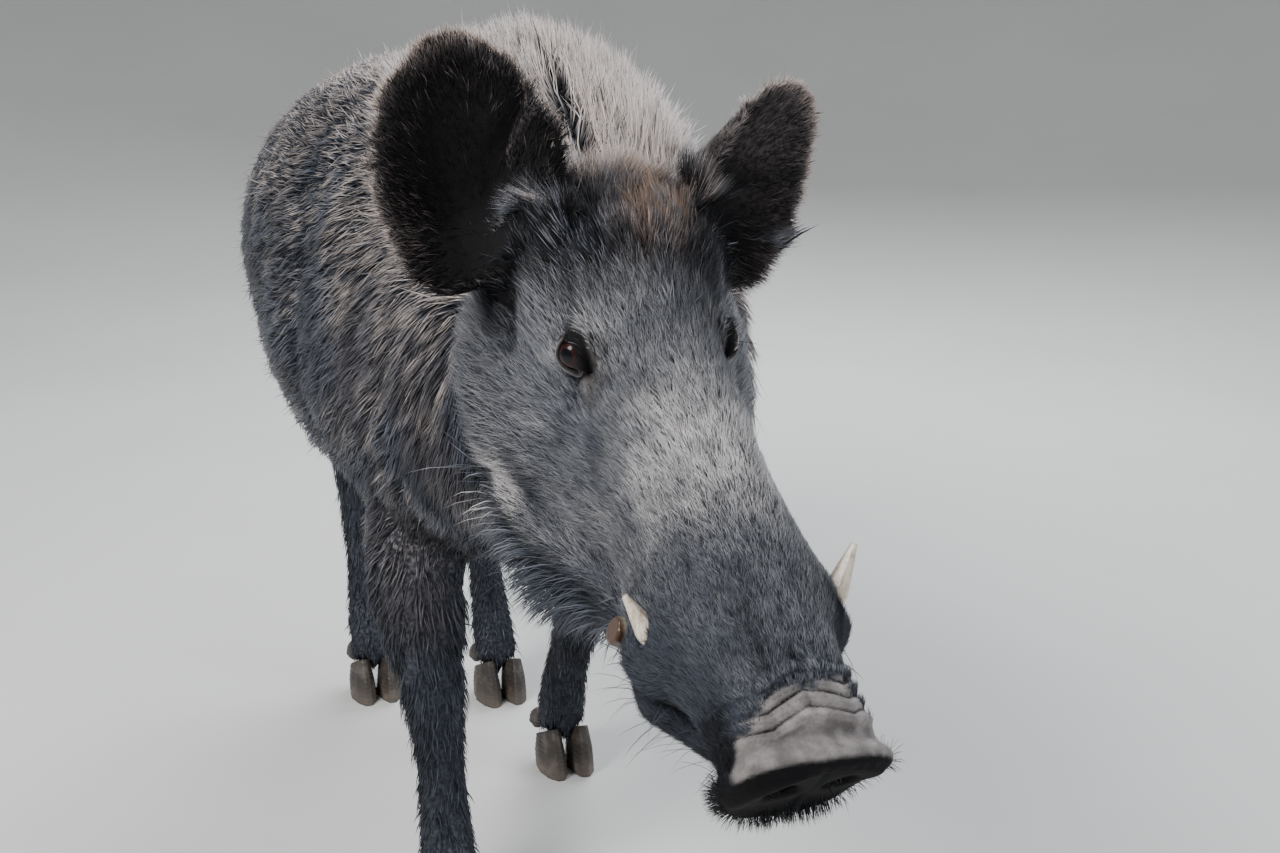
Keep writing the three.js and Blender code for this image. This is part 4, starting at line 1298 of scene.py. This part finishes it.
class BOAR_OT_tusks(bpy.types.Operator):
    """Build the four tusks with their ridges, wear and stain"""

    bl_idname = "boar.tusks"
    bl_label = "Tusks"

    def execute(self, context):
        material = tusk_material(settings()[1])
        for name in TUSKS:
            mesh = rounded([name], name.replace("tusk", "canine"), 0.9 * MM, 12)
            points = coordinates(mesh)
            local = to_head(points)
            side, up = np.abs(local[:, 0]), local[:, 2]
            if "lower" in name:
                along = (up - up.min()) / (up.max() - up.min())
                normals = point_normals(points, corner_table(mesh))
                back = smooth(-0.2, 0.6, (normals @ HEAD_TURN)[:, 1])
                worn = back * smooth(0.55, 0.8, along) * 0.3
                groove = bell(side - side.mean(), 0, 1.6 * MM) * smooth(0.2, 0.5, along)
                move_points(mesh, points - normals * (0.9 * MM * groove)[:, None])
            else:
                along = (side - side.min()) / (side.max() - side.min())
                worn = 0.45 + 0.55 * smooth(0.66, 0.86, along)
            write_value(mesh, "along", along)
            write_value(mesh, "worn", worn)
            add_piece(mesh, material, "ivory", name)
        return {"FINISHED"}


class BOAR_OT_hooves(bpy.types.Operator):
    """Build the hooves: on each foot two claws to stand on and two dew claws behind"""

    bl_idname = "boar.hooves"
    bl_label = "Hooves"

    def execute(self, context):
        material = horn_material(settings()[1])
        for leg in LEGS:
            nodes = [f"{leg}_{part}" for part in HORN_PARTS]
            mesh = rounded(nodes, f"hooves_{leg}", 1.8 * MM, 10)
            points = coordinates(mesh)
            normals = point_normals(points, corner_table(mesh))
            rings = 0.35 * MM * np.sin(points[:, 2] / (5.5 * MM) * 2 * np.pi + 2 * noise(points, 0.02, 21))
            upright = smooth(0.3, 0.8, np.hypot(normals[:, 0], normals[:, 1]))
            rings *= upright * smooth(3 * MM, 9 * MM, points[:, 2])
            points = points + normals * rings[:, None]
            points[:, 2] = np.where(points[:, 2] < 1.0 * MM, 0.0, points[:, 2])
            move_points(mesh, points)
            add_piece(mesh, material, "hoof_horn", *nodes)
        return {"FINISHED"}


# ---------------------------------------------------------------- how the coat grows

def flow(points, normals, masks, ears, places, edges):
    """The lie of the coat: at each point of the skin, the way its hair points along the surface."""
    local = to_head(points)
    y, ahead, up = points[:, 1], masks["ahead"], masks["up"]
    none, ones = np.zeros(len(points)), np.ones(len(points))

    down = 0.30 + 0.5 * bell(y, -0.12, 0.16) + 1.5 * bell(y, -0.33, 0.08) + 0.7 * smooth(0.45, 0.7, y)
    to_crest = -1.1 * normals[:, 0] * masks["ridge"] * smooth(0.2, 0.0, y)
    way = np.stack([to_crest, ones, -down * smooth(0.75, 0.2, normals[:, 2])], axis=1)
    to_leg = np.stack([none, 0.25 * ones, -ones], axis=1)
    way = way + (to_leg - way) * np.maximum(masks["leg"], masks["tail"])[:, None]

    # on the head the hair leaves the nose, fans out over the brows and sweeps back over the cheeks
    fan = np.clip(local[:, 0] / 0.045, -1.3, 1.3)
    brow = smooth(0.085, 0.0, ahead)
    cheek = smooth(-0.005, -0.05, up)
    face = np.stack([fan * (0.12 + 1.0 * brow * (1 - 0.6 * masks["crown"])) * (1 - 0.8 * cheek),
                     ones * (1 - 0.55 * brow * (1 - cheek)),
                     0.15 + 0.95 * brow * (1 - cheek) - 0.12 * cheek - 0.75 * masks["jaw"]], axis=1)
    face[:, 2] += 0.35 * noise(local, 0.045, 15)
    way = way + (head_way(face) - way) * masks["head"][:, None]

    for name in EARS:
        _, axis, across, _ = ear_frame(name)
        rise, width = places[name]
        out = (width / EAR_HALF)[:, None]
        along = (-0.1 + 1.3 * np.clip(rise / EAR_SKIN_LENGTH, 0, 1))[:, None]
        hair = head_way(axis * along + across * out * 1.2)
        way = way + (hair - way) * ears[name][:, None]
    way = relax(unit(way), edges, 1.0, 10)
    return unit(way - normals * dot(way, normals)[:, None])


def lay_out_coat(mesh):
    """Works out, at every point of the skin, how its hair grows, and keeps it for the coat pieces."""
    points, corners, edges = coordinates(mesh), corner_table(mesh), mesh_edges(mesh)
    normals = unit(relax(point_normals(points, corners), edges, 1.0, 3))
    ears, places = ear_masks(points)
    masks = regions(points, normals)
    ring, _, tear = eye_ring(points)
    way = flow(points, normals, masks, ears, places, edges)
    a, b, c = (points[corners[:, k]] for k in range(3))
    # faces in the same cell of space come one after another, so tufts are drawn evenly over the skin
    order = np.lexsort(np.floor((a + b + c) / 3 / 0.02).astype(int).T)
    area = np.linalg.norm(np.cross(b - a, c - a), axis=1)[order] / 2
    SKIN.update(points=points, corners=corners[order], normals=normals, area=area, masks=masks,
                ears=ears, ear=np.maximum(ears["left"], ears["right"]), places=places,
                ring=ring, tear=tear, flow=way)


def body_unwrap(points):
    """The trunk unrolled round its long axis: once round it, and along it."""
    around = np.arctan2(points[:, 0], points[:, 2] - (BACK_TOP + BELLY) / 2) / (2 * np.pi) + 0.5
    return np.stack([around, points[:, 1]], axis=1)


def head_unwrap(points):
    """The head unrolled round the line from its crown to its nose."""
    local = to_head(points)
    middle = -0.045 + 0.12 * local[:, 1]
    around = np.arctan2(local[:, 0], local[:, 2] - middle) / (2 * np.pi) + 0.5
    return np.stack([around, -local[:, 1]], axis=1)


def leg_unwrap(points):
    """The four legs unrolled side by side, each round its own middle at that height."""
    leg = (points[:, 0] > 0) + 2 * (points[:, 1] > 0.3)
    around = np.zeros(len(points))
    for k in range(4):
        chosen = leg == k
        band = np.round(points[:, 2] / 0.02).astype(int) * chosen
        count = np.maximum(np.bincount(band[chosen]), 1)
        middle = [np.bincount(band[chosen], points[chosen, axis]) / count for axis in (0, 1)]
        off = [points[chosen, axis] - middle[axis][band[chosen]] for axis in (0, 1)]
        around[chosen] = np.arctan2(off[0], off[1]) / (2 * np.pi) + 0.5
    return np.stack([(leg + 0.94 * around) / 4, points[:, 2]], axis=1)


def ear_unwrap(points):
    """Both ears laid flat side by side."""
    local = to_head(points)
    (right_up, right_across), (left_up, left_across) = (on_ear(local, name) for name in EARS)
    left = local[:, 0] > 0
    u = np.where(left, left_across, right_across) / (4.4 * EAR_HALF) + np.where(left, 0.75, 0.25)
    return np.stack([u, np.where(left, left_up, right_up)], axis=1)


PROFILE = {1: (1.0,), 2: (0.85, 0.72), 3: (0.8, 0.95, 0.55)}    # how thick each ring of a tuft is


def grow(name, count, weight, length, width, lift, seed, unwrap, rings=2, clump=0.012, pull=0.5,
         sag=0.0, lift_end=None, jitter=0.25, flat=0.5, stray=0.03, alike=0.55):
    """One piece of the coat: count tufts over the skin, each a thin three-sided spike.

    weight, length, width and lift are numbers or arrays over the skin's points. Tufts grow where
    weight is above 0, and as thickly as it says. clump is the size of the locks that tufts gather in,
    and pull is how closely. sag bends the tips down. rings is how many rings of points a tuft has.
    jitter is how much neighbours turn from each other, and stray the share that sticks out.
    alike is how much the tufts of one lock share their shade.
    """
    rng = np.random.default_rng(seed)
    points, corners, normals = SKIN["points"], SKIN["corners"], SKIN["normals"]
    full = lambda value: np.broadcast_to(np.asarray(value, float), len(points))
    weight, length, width, lift = (full(value) for value in (weight, length, width, lift))
    lift_end = lift if lift_end is None else full(lift_end)

    # where each tuft stands: a face of the skin and a place in it
    total = np.cumsum(SKIN["area"] * weight[corners].mean(axis=1))
    places = (np.arange(count) + rng.random(count)) * total[-1] / count
    face = np.minimum(np.searchsorted(total, places), len(corners) - 1)
    u, v = rng.random((2, count))
    fold = u + v > 1
    u, v = np.where(fold, 1 - u, u), np.where(fold, 1 - v, v)
    mix = np.stack([1 - u - v, u, v], axis=1)

    def at(values):
        return np.einsum("nk,nk...->n...", mix, values[corners[face]])

    root, normal = at(points), unit(at(normals))
    ahead = at(SKIN["flow"])
    ahead = unit(ahead - normal * dot(ahead, normal)[:, None])
    side = np.cross(ahead, normal)
    long = at(length) * rng.uniform(0.72, 1.18, count)
    thick = at(width) * rng.uniform(0.7, 1.25, count)
    rise, rise_end = at(lift), at(lift_end)

    # tufts whose roots share a cell of space make up one lock
    shift = np.stack([noise(root, 2.5 * clump, seed + k) for k in range(3)], axis=1)
    cells = np.floor((root + 0.3 * clump * shift) / clump).astype(np.int64)
    _, lock = np.unique(scattered(cells), return_inverse=True)
    lock = lock.ravel()
    locks = lock.max() + 1
    by_lock = rng.random((locks, 3))
    swing = jitter * (0.6 * rng.standard_normal(count) + 0.8 * (by_lock[lock, 0] * 2 - 1))
    ahead = unit(ahead + side * swing[:, None])
    side = np.cross(ahead, normal)
    rise = rise * (0.75 + 0.5 * by_lock[lock, 1]) + 0.06 * rng.standard_normal(count)
    rise_end = rise_end * (0.75 + 0.5 * by_lock[lock, 1])
    wild = rng.random(count) < stray
    rise_end = np.where(wild, rise_end + 0.45, rise_end)
    thick = np.where(wild, 0.6 * thick, thick)

    # the line of each tuft, from its root to its tip
    t = np.linspace(0, 1, rings + 1) ** 0.9
    start = ahead * np.cos(rise)[:, None] + normal * np.sin(rise)[:, None]
    end = ahead * np.cos(rise_end)[:, None] + normal * np.sin(rise_end)[:, None]
    end = end + np.array([0, 0, -1.0]) * sag + side * (0.22 * jitter * rng.standard_normal(count))[:, None]
    end = unit(end)
    path = [root - normal * (0.4 * thick)[:, None]]
    for share in t[1:]:
        reach = start * (share - share * share / 2) + end * (share * share / 2)
        path.append(root + 1.04 * reach * long[:, None])
    path = np.stack(path, axis=1)

    # the tufts of a lock draw together towards their tips
    count_in = np.bincount(lock, minlength=locks)
    hold = np.where(wild, 0, pull * np.minimum(1, (count_in[lock] - 1) / 2))
    for k in range(1, rings + 1):
        mean = np.stack([np.bincount(lock, path[:, k, a], locks) / count_in for a in range(3)], axis=1)
        path[:, k] += (mean[lock] - path[:, k]) * (hold * t[k] ** 1.5)[:, None]

    body = []
    for k in range(rings):
        along = unit(path[:, k + 1] - path[:, max(k - 1, 0)])
        across = unit(np.cross(along, normal))
        over = np.cross(across, along)
        for angle in (math.pi / 2, math.pi * 7 / 6, math.pi * 11 / 6):
            off = across * math.cos(angle) + over * (flat * math.sin(angle))
            body.append(path[:, k] + off * (0.5 * PROFILE[rings][k] * thick)[:, None])
    body.append(path[:, rings])
    tuft = np.stack(body, axis=1)
    each = tuft.shape[1]

    faces = []
    for k in range(rings - 1):
        for j in range(3):
            a, b = 3 * k + j, 3 * k + (j + 1) % 3
            faces += [(a, b, b + 3), (a, b + 3, a + 3)]
    for j in range(3):
        faces.append((3 * (rings - 1) + j, 3 * (rings - 1) + (j + 1) % 3, each - 1))
    all_faces = (np.arange(count)[:, None, None] * each + np.array(faces)[None]).reshape(-1, 3)
    mesh = plain_mesh(name, tuft.reshape(-1, 3), all_faces)

    along = np.concatenate([np.repeat(t[:-1], 3), [1.0]])
    write_value(mesh, "along", np.tile(along, count))
    shade = alike * by_lock[lock, 2] + (1 - alike) * rng.random(count)
    write_value(mesh, "shade", np.repeat(shade, each))
    write_marks(mesh, np.repeat(at(SKIN["marks"]), each, axis=0))

    # each tuft is a tiny patch of the unwrap, at its root's place
    flat_place = unwrap(root)
    low, high = flat_place.min(axis=0), flat_place.max(axis=0)
    flat_place = 0.004 + 0.992 * (flat_place - low) / (high - low)
    across = np.concatenate([np.tile([0.0, -1.0, 1.0], rings), [0.0]])
    spread = 0.0015 * np.stack([across, 2 * along - 1], axis=1)
    uv = (flat_place[:, None, :] + spread[None]).reshape(-1, 2)
    layer = mesh.uv_layers.new(name="OFBake")
    layer.data.foreach_set("uv", uv[all_faces.ravel()].astype(np.float32).ravel())
    return mesh


def grow_pieces(rows, material, slot, **common):
    """Grows pieces of the coat.

    Each row has a name, a number of tufts, where they grow, their length, their thickness, how much
    they lift at the root, a seed and what else that piece needs. common is for all of them.
    """
    for name, count, weight, length, width, lift, seed, more in rows:
        mesh = grow(name, count, weight, length, width, lift, seed, **{**common, **more})
        add_piece(mesh, material, slot)


def tufts(count):
    """A number of tufts, fewer where the fullness is set lower."""
    return max(int(count * settings()[0].share), 100)


class BOAR_OT_body_coat(bpy.types.Operator):
    """Grow the long bristles of the flanks, neck, chest, back, rump and belly"""

    bl_idname = "boar.body_coat"
    bl_label = "Body coat"

    def execute(self, context):
        coat, colours, _ = settings()
        lay_out_coat(bpy.data.objects["skin"].data)
        material = bristle_material("bristles", colours)
        standing = bristle_material("mane_bristles", colours, tip_start=0.1)
        masks, points = SKIN["masks"], SKIN["points"]
        x, y, z = points.T
        side, ahead, up = masks["side"], masks["ahead"], masks["up"]
        ridge = masks["ridge"]
        in_cup = smooth(60 * MM, 72 * MM, side) * smooth(-0.135, -0.12, ahead) * smooth(0, 0.02, up)
        body = np.clip(1 - masks["head"] - SKIN["ear"] - masks["tail"], 0, 1)
        body = body * (1 - 0.9 * masks["leg"]) * (1 - in_cup)
        to_ear = np.minimum(*(np.linalg.norm(to_head(points) - ear_frame(name)[0], axis=1) for name in EARS))

        neck = smooth(-0.02, -0.16, y)
        rump = smooth(0.46, 0.6, y)
        length = coat.flank_length * (1 - 0.25 * masks["belly"]) * (1 - 0.2 * rump)
        length = length * (1 - 0.45 * smooth(0.5, 0.36, z))
        length = length * (0.45 + 0.55 * smooth(0.06, 0.12, to_ear))
        lift = 0.22 + 0.2 * ridge + 0.10 * neck
        sides = body * (1 - smooth(0.35, 0.6, ridge))
        flank = sides * (1 - neck) * (1 - rump)
        thick = 2.3 * MM
        rows = (
            ("coat_flank_right", tufts(12000), flank * (x < 0), length, thick, lift, 31, {}),
            ("coat_flank_left", tufts(11500), flank * (x >= 0), length, thick, lift, 32, {}),
            ("coat_neck", tufts(14500), sides * neck, length, 2.0 * MM, lift, 33, {"clump": 0.012}),
            ("coat_rump", tufts(7000), sides * rump, length, thick, lift, 34, {}),
        )
        growth = {"clump": 0.016, "pull": 0.6, "sag": 0.12, "jitter": 0.34, "unwrap": body_unwrap}
        grow_pieces(rows, material, "bristle_coat", lift_end=0.08 + 0.2 * ridge, **growth)

        shoulders = smooth(0.25, -0.1, y)
        mane = coat.mane_length * (0.62 + 0.38 * shoulders) * (0.85 + 0.15 * smooth(-0.34, -0.24, y))
        mane = mane * (0.3 + 0.7 * smooth(0.05, 0.085, to_ear))
        top = body * smooth(0.2, 0.5, ridge)
        lift = 0.42 + 0.26 * shoulders
        rows = (
            ("coat_mane", tufts(15000), top * smooth(0.1, 0.0, y), mane, 2.0 * MM, lift, 35, {}),
            ("coat_back", tufts(9000), top * smooth(0.0, 0.1, y), mane, 2.0 * MM, lift, 36, {}),
        )
        growth = {"clump": 0.010, "pull": 0.35, "jitter": 0.36, "unwrap": body_unwrap}
        grow_pieces(rows, standing, "bristle_coat", lift_end=0.2 + 0.22 * shoulders, **growth)
        return {"FINISHED"}


class BOAR_OT_leg_coat(bpy.types.Operator):
    """Grow the short bristles of the legs and the tail with its tassel"""

    bl_idname = "boar.leg_coat"
    bl_label = "Leg and tail coat"

    def execute(self, context):
        material = bristle_material("leg_bristles", settings()[1])
        masks = SKIN["masks"]
        z = SKIN["points"][:, 2]
        legs = masks["leg"] * (1 - masks["tail"]) * (z > 0.012)
        length = 26 * MM * (1 - 0.45 * smooth(0.3, 0.1, z)) + 14 * MM * smooth(0.36, 0.44, z)
        tassel = smooth(TAIL_LOW[2] + 0.14, TAIL_LOW[2] + 0.06, z)
        rows = (
            ("coat_legs", tufts(9500), legs, length, 2.1 * MM, 0.16, 41,
             {"unwrap": leg_unwrap, "clump": 0.009, "pull": 0.4, "lift_end": 0.10}),
            ("coat_tail", tufts(1500), masks["tail"], 24 * MM + 46 * MM * tassel, 1.9 * MM,
             0.12 + 0.1 * tassel, 42,
             {"unwrap": body_unwrap, "clump": 0.010, "lift_end": 0.02, "rings": 3}),
        )
        grow_pieces(rows, material, "leg_hair")
        return {"FINISHED"}


class BOAR_OT_face_hair(bpy.types.Operator):
    """Grow the short hair of the face, the crown between the ears and the beard of the jaw"""

    bl_idname = "boar.face_hair"
    bl_label = "Face hair"

    def execute(self, context):
        coat, colours, _ = settings()
        material = bristle_material("face_hair", colours, 0.55, tip_start=0.08, Tip=colours.face_tip,
                                    Pale=colours.face_pale)
        crown_material = bristle_material("crown_hair", colours, 0.55, tip_start=0.28)
        masks, ring, tear = SKIN["masks"], SKIN["ring"], SKIN["tear"]
        ahead, up, side, head = masks["ahead"], masks["up"], masks["side"], masks["head"]
        off_ear, bare = 1 - SKIN["ear"], SKIN["marks"][:, 3]

        clear = smooth(6 * MM, 10 * MM, ring) * smooth(2.5 * MM, 8 * MM, tear)
        crown = head * smooth(0.03, 0.5, masks["crown"]) * off_ear * smooth(0.074, 0.056, side)
        face = head * off_ear * (1 - bare) * clear * (1 - 0.7 * smooth(0.2, 0.8, crown))
        nose = smooth(0.08, 0.2, ahead)
        short = coat.face_length * (1 - 0.4 * nose) * (0.45 + 0.55 * smooth(4 * MM, 18 * MM, ring))
        short = short * (0.4 + 0.6 * smooth(5 * MM, 16 * MM, tear))
        short = short * (1 - 0.5 * masks["ear_root"])
        longer = short * (1 + 0.7 * smooth(-0.02, -0.08, ahead) + 0.6 * masks["brow"])
        thick = (0.86 - 0.28 * nose) * MM
        dense = 1 + 0.8 * smooth(-0.05, 0.05, ahead)
        high = smooth(-0.10, -0.02, up)
        lift = 0.38 - 0.15 * nose
        rows = (
            ("face_under_hair", tufts(44000), face * dense, short, thick, lift, 51, {}),
            ("face_upper_hair", tufts(52000), face * high * dense, longer * 1.15, thick, lift, 52, {}),
            ("face_lower_hair", tufts(40000), face * (1 - high) * dense, longer * 1.35, thick, lift, 53,
             {"sag": 0.25}),
        )
        grow_pieces(rows, material, "face_hair", unwrap=head_unwrap, lift_end=0.18, jitter=0.44,
                    pull=0.2, clump=0.0065, rings=1, alike=0.24)

        standing = smooth(0.02, -0.06, ahead)
        tall = masks["crown"] * smooth(-0.01, -0.1, ahead)
        rows = (
            ("crown_hair", tufts(13500), crown * (1 - 0.6 * masks["ear_root"]),
             10 * MM + 18 * MM * standing + 20 * MM * tall, 0.9 * MM, 0.28 + 0.16 * standing + 0.28 * tall,
             54, {"lift_end": 0.12 + 0.2 * standing + 0.22 * tall}),
        )
        grow_pieces(rows, crown_material, "face_hair", unwrap=head_unwrap, clump=0.007, pull=0.3,
                    jitter=0.35, alike=0.25)
        beard = head * smooth(0.0, -0.025, masks["over_jaw"]) * smooth(0.14, 0.02, ahead) * off_ear
        rows = (("jaw_beard", tufts(3000), beard, 50 * MM, 1.2 * MM, 0.5, 55, {"lift_end": 0.35}),)
        grow_pieces(rows, material, "face_hair", unwrap=head_unwrap, rings=3, clump=0.013, sag=0.9,
                    jitter=0.4)
        return {"FINISHED"}


class BOAR_OT_whiskers(bpy.types.Operator):
    """Grow the single long hairs: lashes, brows, whiskers of lip and chin, and the nose's fringe"""

    bl_idname = "boar.whiskers"
    bl_label = "Whiskers and lashes"

    def execute(self, context):
        material = bristle_material("whiskers", settings()[1], tip_start=0.2)
        masks, ring = SKIN["masks"], SKIN["ring"]
        ahead, up, plate = masks["ahead"], masks["up"], masks["plate"]
        disc_out, disc_up, over_jaw = masks["disc_out"], masks["disc_up"], masks["over_jaw"]
        head = masks["head"] * (1 - SKIN["ear"])
        above = head * smooth(0.0, 0.006, up)
        lips = head * smooth(-0.075, -0.1, up) * smooth(0.09, 0.13, ahead) * (1 - SKIN["marks"][:, 3])
        cheeks = head * smooth(0.01, -0.01, over_jaw) * smooth(0.1, 0.04, ahead)
        cheeks = cheeks * smooth(-0.09, -0.04, ahead)
        beside = smooth(4 * MM, -8 * MM, disc_up) * (1 - plate)
        fringe = plate * smooth(-0.02, -0.035, disc_up + 0.01)
        fringe = fringe + masks["head"] * bell(disc_out, 6 * MM, 8 * MM) * beside
        rows = (
            ("lashes", 90, above * bell(ring, 2.2 * MM, 1.2 * MM), 11 * MM, 0.5 * MM, 0.5, 71,
             {"sag": 0.5, "lift_end": 0.1, "jitter": 0.2}),
            ("brow_whiskers", 60, above * bell(ring, 16 * MM, 6 * MM), 34 * MM, 0.55 * MM, 0.9, 72,
             {"rings": 3, "sag": 0.3, "lift_end": 0.5, "jitter": 0.6}),
            ("lip_whiskers", 220, lips, 36 * MM, 0.6 * MM, 0.8, 73,
             {"rings": 3, "sag": 0.8, "lift_end": 0.6, "jitter": 0.7}),
            ("cheek_whiskers", 260, cheeks, 60 * MM, 0.7 * MM, 0.6, 74,
             {"rings": 3, "sag": 0.7, "lift_end": 0.5, "jitter": 0.5}),
            ("nose_fringe", 1900, fringe, 10 * MM, 0.55 * MM, 1.0, 75,
             {"sag": 0.6, "lift_end": 0.9, "jitter": 0.5}),
        )
        grow_pieces(rows, material, "face_hair", unwrap=head_unwrap, pull=0, stray=0.1)
        return {"FINISHED"}


class BOAR_OT_ear_hair(bpy.types.Operator):
    """Grow the hair on the backs of the ears, inside their cups and along their rims"""

    bl_idname = "boar.ear_hair"
    bl_label = "Ear hair"

    def execute(self, context):
        material = bristle_material("ear_hair", settings()[1], tip_start=0.3)
        inner, rim, deep, low = (np.zeros(len(SKIN["points"])) for _ in range(4))
        for name in EARS:
            ear = SKIN["ears"][name]
            base, _, _, front = ear_frame(name)
            rise, width = SKIN["places"][name]
            edge = ear_edge(rise, width)
            inner = np.maximum(inner, ear * smooth(-0.1, 0.3, dot(SKIN["normals"], head_way(front))))
            rim = np.maximum(rim, ear * smooth(0.68, 0.95, edge))
            deep = np.maximum(deep, ear * smooth(0.75, 0.35, edge))
            foot = smooth(0.45, 0.2, rise / EAR_SKIN_LENGTH) * smooth(0.35, 0.7, edge)
            foot = foot * smooth(-15 * MM, 5 * MM, SKIN["masks"]["side"] - abs(base[0]))
            low = np.maximum(low, ear * foot)
        outer = SKIN["ear"] * (1 - inner)
        rows = (
            ("ear_back_hair", tufts(5600), outer, 15 * MM, 1.1 * MM, 0.2, 61,
             {"clump": 0.006, "pull": 0.35, "lift_end": 0.08}),
            ("ear_inner_hair", tufts(3200), inner * (1 - 0.9 * deep), 14 * MM, 0.7 * MM, 0.16, 62,
             {"clump": 0.007, "pull": 0.3, "lift_end": 0.12, "jitter": 0.4}),
            ("ear_rim_hair", tufts(7800), rim, 12 * MM, 0.6 * MM, 0.3, 63,
             {"clump": 0.005, "pull": 0.2, "lift_end": 0.3, "jitter": 0.5}),
            ("ear_base_hair", tufts(1800), low, 15 * MM, 0.7 * MM, 0.28, 64,
             {"clump": 0.008, "pull": 0.3, "lift_end": 0.15, "jitter": 0.45, "sag": 0.35, "alike": 0.2,
              "stray": 0}),
        )
        grow_pieces(rows, material, "ear_hair", unwrap=ear_unwrap)
        return {"FINISHED"}


# ---------------------------------------------------------------- floor, light and camera

# The camera's place from the point between the eyes, and the way it looks.
CAMERA_OFF = Vector((-0.343, -0.980, 0.221))
CAMERA_AZIMUTH = math.radians(19)
CAMERA_DIP = math.radians(15)
CAMERA_LENS, CAMERA_SENSOR = 45, 36    # in millimetres


def area_light(name, place, target, size, power, colour):
    light = bpy.data.lights.new(name, "AREA")
    light.shape = "DISK"
    light.size = size
    light.energy = power
    light.color = colour
    obj = show(light)
    obj.location = place
    obj.rotation_euler = (Vector(target) - Vector(place)).to_track_quat("-Z", "Y").to_euler()


def floor_dish(flat=2.6, reach=14.0, height=9.0, rings=40, sides=96):
    """A flat floor that curves up far from the object on every side, so that no edge shows."""
    radius = np.concatenate([[0.02], np.linspace(flat, reach, rings)])
    rise = height * ((np.maximum(radius, flat) - flat) / (reach - flat)) ** 2
    angle = np.linspace(0, 2 * math.pi, sides, endpoint=False)
    points = np.stack([np.outer(radius, np.cos(angle)), np.outer(radius, np.sin(angle)),
                       np.outer(rise, np.ones(sides))], axis=-1).reshape(-1, 3)
    i, j = (grid.ravel() for grid in np.meshgrid(np.arange(rings), np.arange(sides), indexing="ij"))
    after = (j + 1) % sides
    quads = np.stack([i * sides + j, (i + 1) * sides + j, (i + 1) * sides + after, i * sides + after], axis=1)
    centre = np.array([[0, 0, 0]])
    cap = np.stack([np.full(sides, len(points)), np.arange(sides), np.roll(np.arange(sides), -1)], axis=1)
    triangles = np.concatenate([quads[:, [0, 1, 2]], quads[:, [0, 2, 3]], cap])
    return plain_mesh("floor", np.concatenate([points, centre]), triangles)


class BOAR_OT_studio(bpy.types.Operator):
    """Set up the pale floor, the soft lights and the camera"""

    bl_idname = "boar.studio"
    bl_label = "Studio"

    def execute(self, context):
        studio = settings()[2]
        floor = show(floor_dish())
        floor.data.materials.append(floor_material(studio.floor))
        key = studio.key
        area_light("key_light", (-2.1, -1.2, 2.7), (0, -0.3, 0.5), 1.7, key, (1.0, 0.995, 0.99))
        area_light("back_light", (1.4, 2.2, 2.6), (0, 0, 0.6), 2.4, key * 0.8, (0.93, 0.96, 1.0))
        area_light("side_light", (2.6, -1.6, 1.6), (0, -0.3, 0.5), 1.8, key * 0.25, (0.86, 0.92, 1.0))
        world = bpy.data.worlds.new("studio")
        context.scene.world = world
        world.use_nodes = True
        background = world.node_tree.nodes["Background"]
        background.inputs["Color"].default_value = (0.93, 0.96, 1.0, 1)
        background.inputs["Strength"].default_value = studio.fill
        lens = bpy.data.cameras.new("camera")
        lens.sensor_width = CAMERA_SENSOR
        lens.lens = CAMERA_LENS
        lens.clip_start = 0.05
        camera = show(lens)
        camera.location = Vector(HEAD_ORIGIN) + CAMERA_OFF
        camera.rotation_euler = (math.pi / 2 - CAMERA_DIP, 0, -CAMERA_AZIMUTH)
        context.scene.camera = camera
        return {"FINISHED"}


# ---------------------------------------------------------------- panel and registration

class BOAR_PT_panel(bpy.types.Panel):
    """Lists the steps that build the boar"""

    bl_label = "Wild boar"
    bl_idname = "BOAR_PT_panel"
    bl_space_type = "VIEW_3D"
    bl_region_type = "UI"
    bl_category = "Wild boar"

    def draw(self, context):
        layout = self.layout
        for group in settings():
            box = layout.box()
            for name in group.__annotations__:
                box.prop(group, name)
        for step in STEPS:
            layout.operator(step.bl_idname)


GROUPS = {"boar_coat": BOAR_PG_coat, "boar_colours": BOAR_PG_colours, "boar_studio": BOAR_PG_studio}
STEPS = (BOAR_OT_studio, BOAR_OT_skin, BOAR_OT_eyes, BOAR_OT_tusks, BOAR_OT_hooves,
         BOAR_OT_body_coat, BOAR_OT_leg_coat, BOAR_OT_face_hair, BOAR_OT_ear_hair, BOAR_OT_whiskers)


def register():
    for cls in (*GROUPS.values(), *STEPS, BOAR_PT_panel):
        bpy.utils.register_class(cls)
    for name, group in GROUPS.items():
        setattr(bpy.types.Scene, name, bpy.props.PointerProperty(type=group))


def unregister():
    for name in GROUPS:
        delattr(bpy.types.Scene, name)
    for cls in (BOAR_PT_panel, *reversed(STEPS), *GROUPS.values()):
        bpy.utils.unregister_class(cls)


def main():
    register()
    for step in STEPS:
        space, name = step.bl_idname.split(".")
        getattr(getattr(bpy.ops, space), name)()


if __name__ == "__main__":
    main()
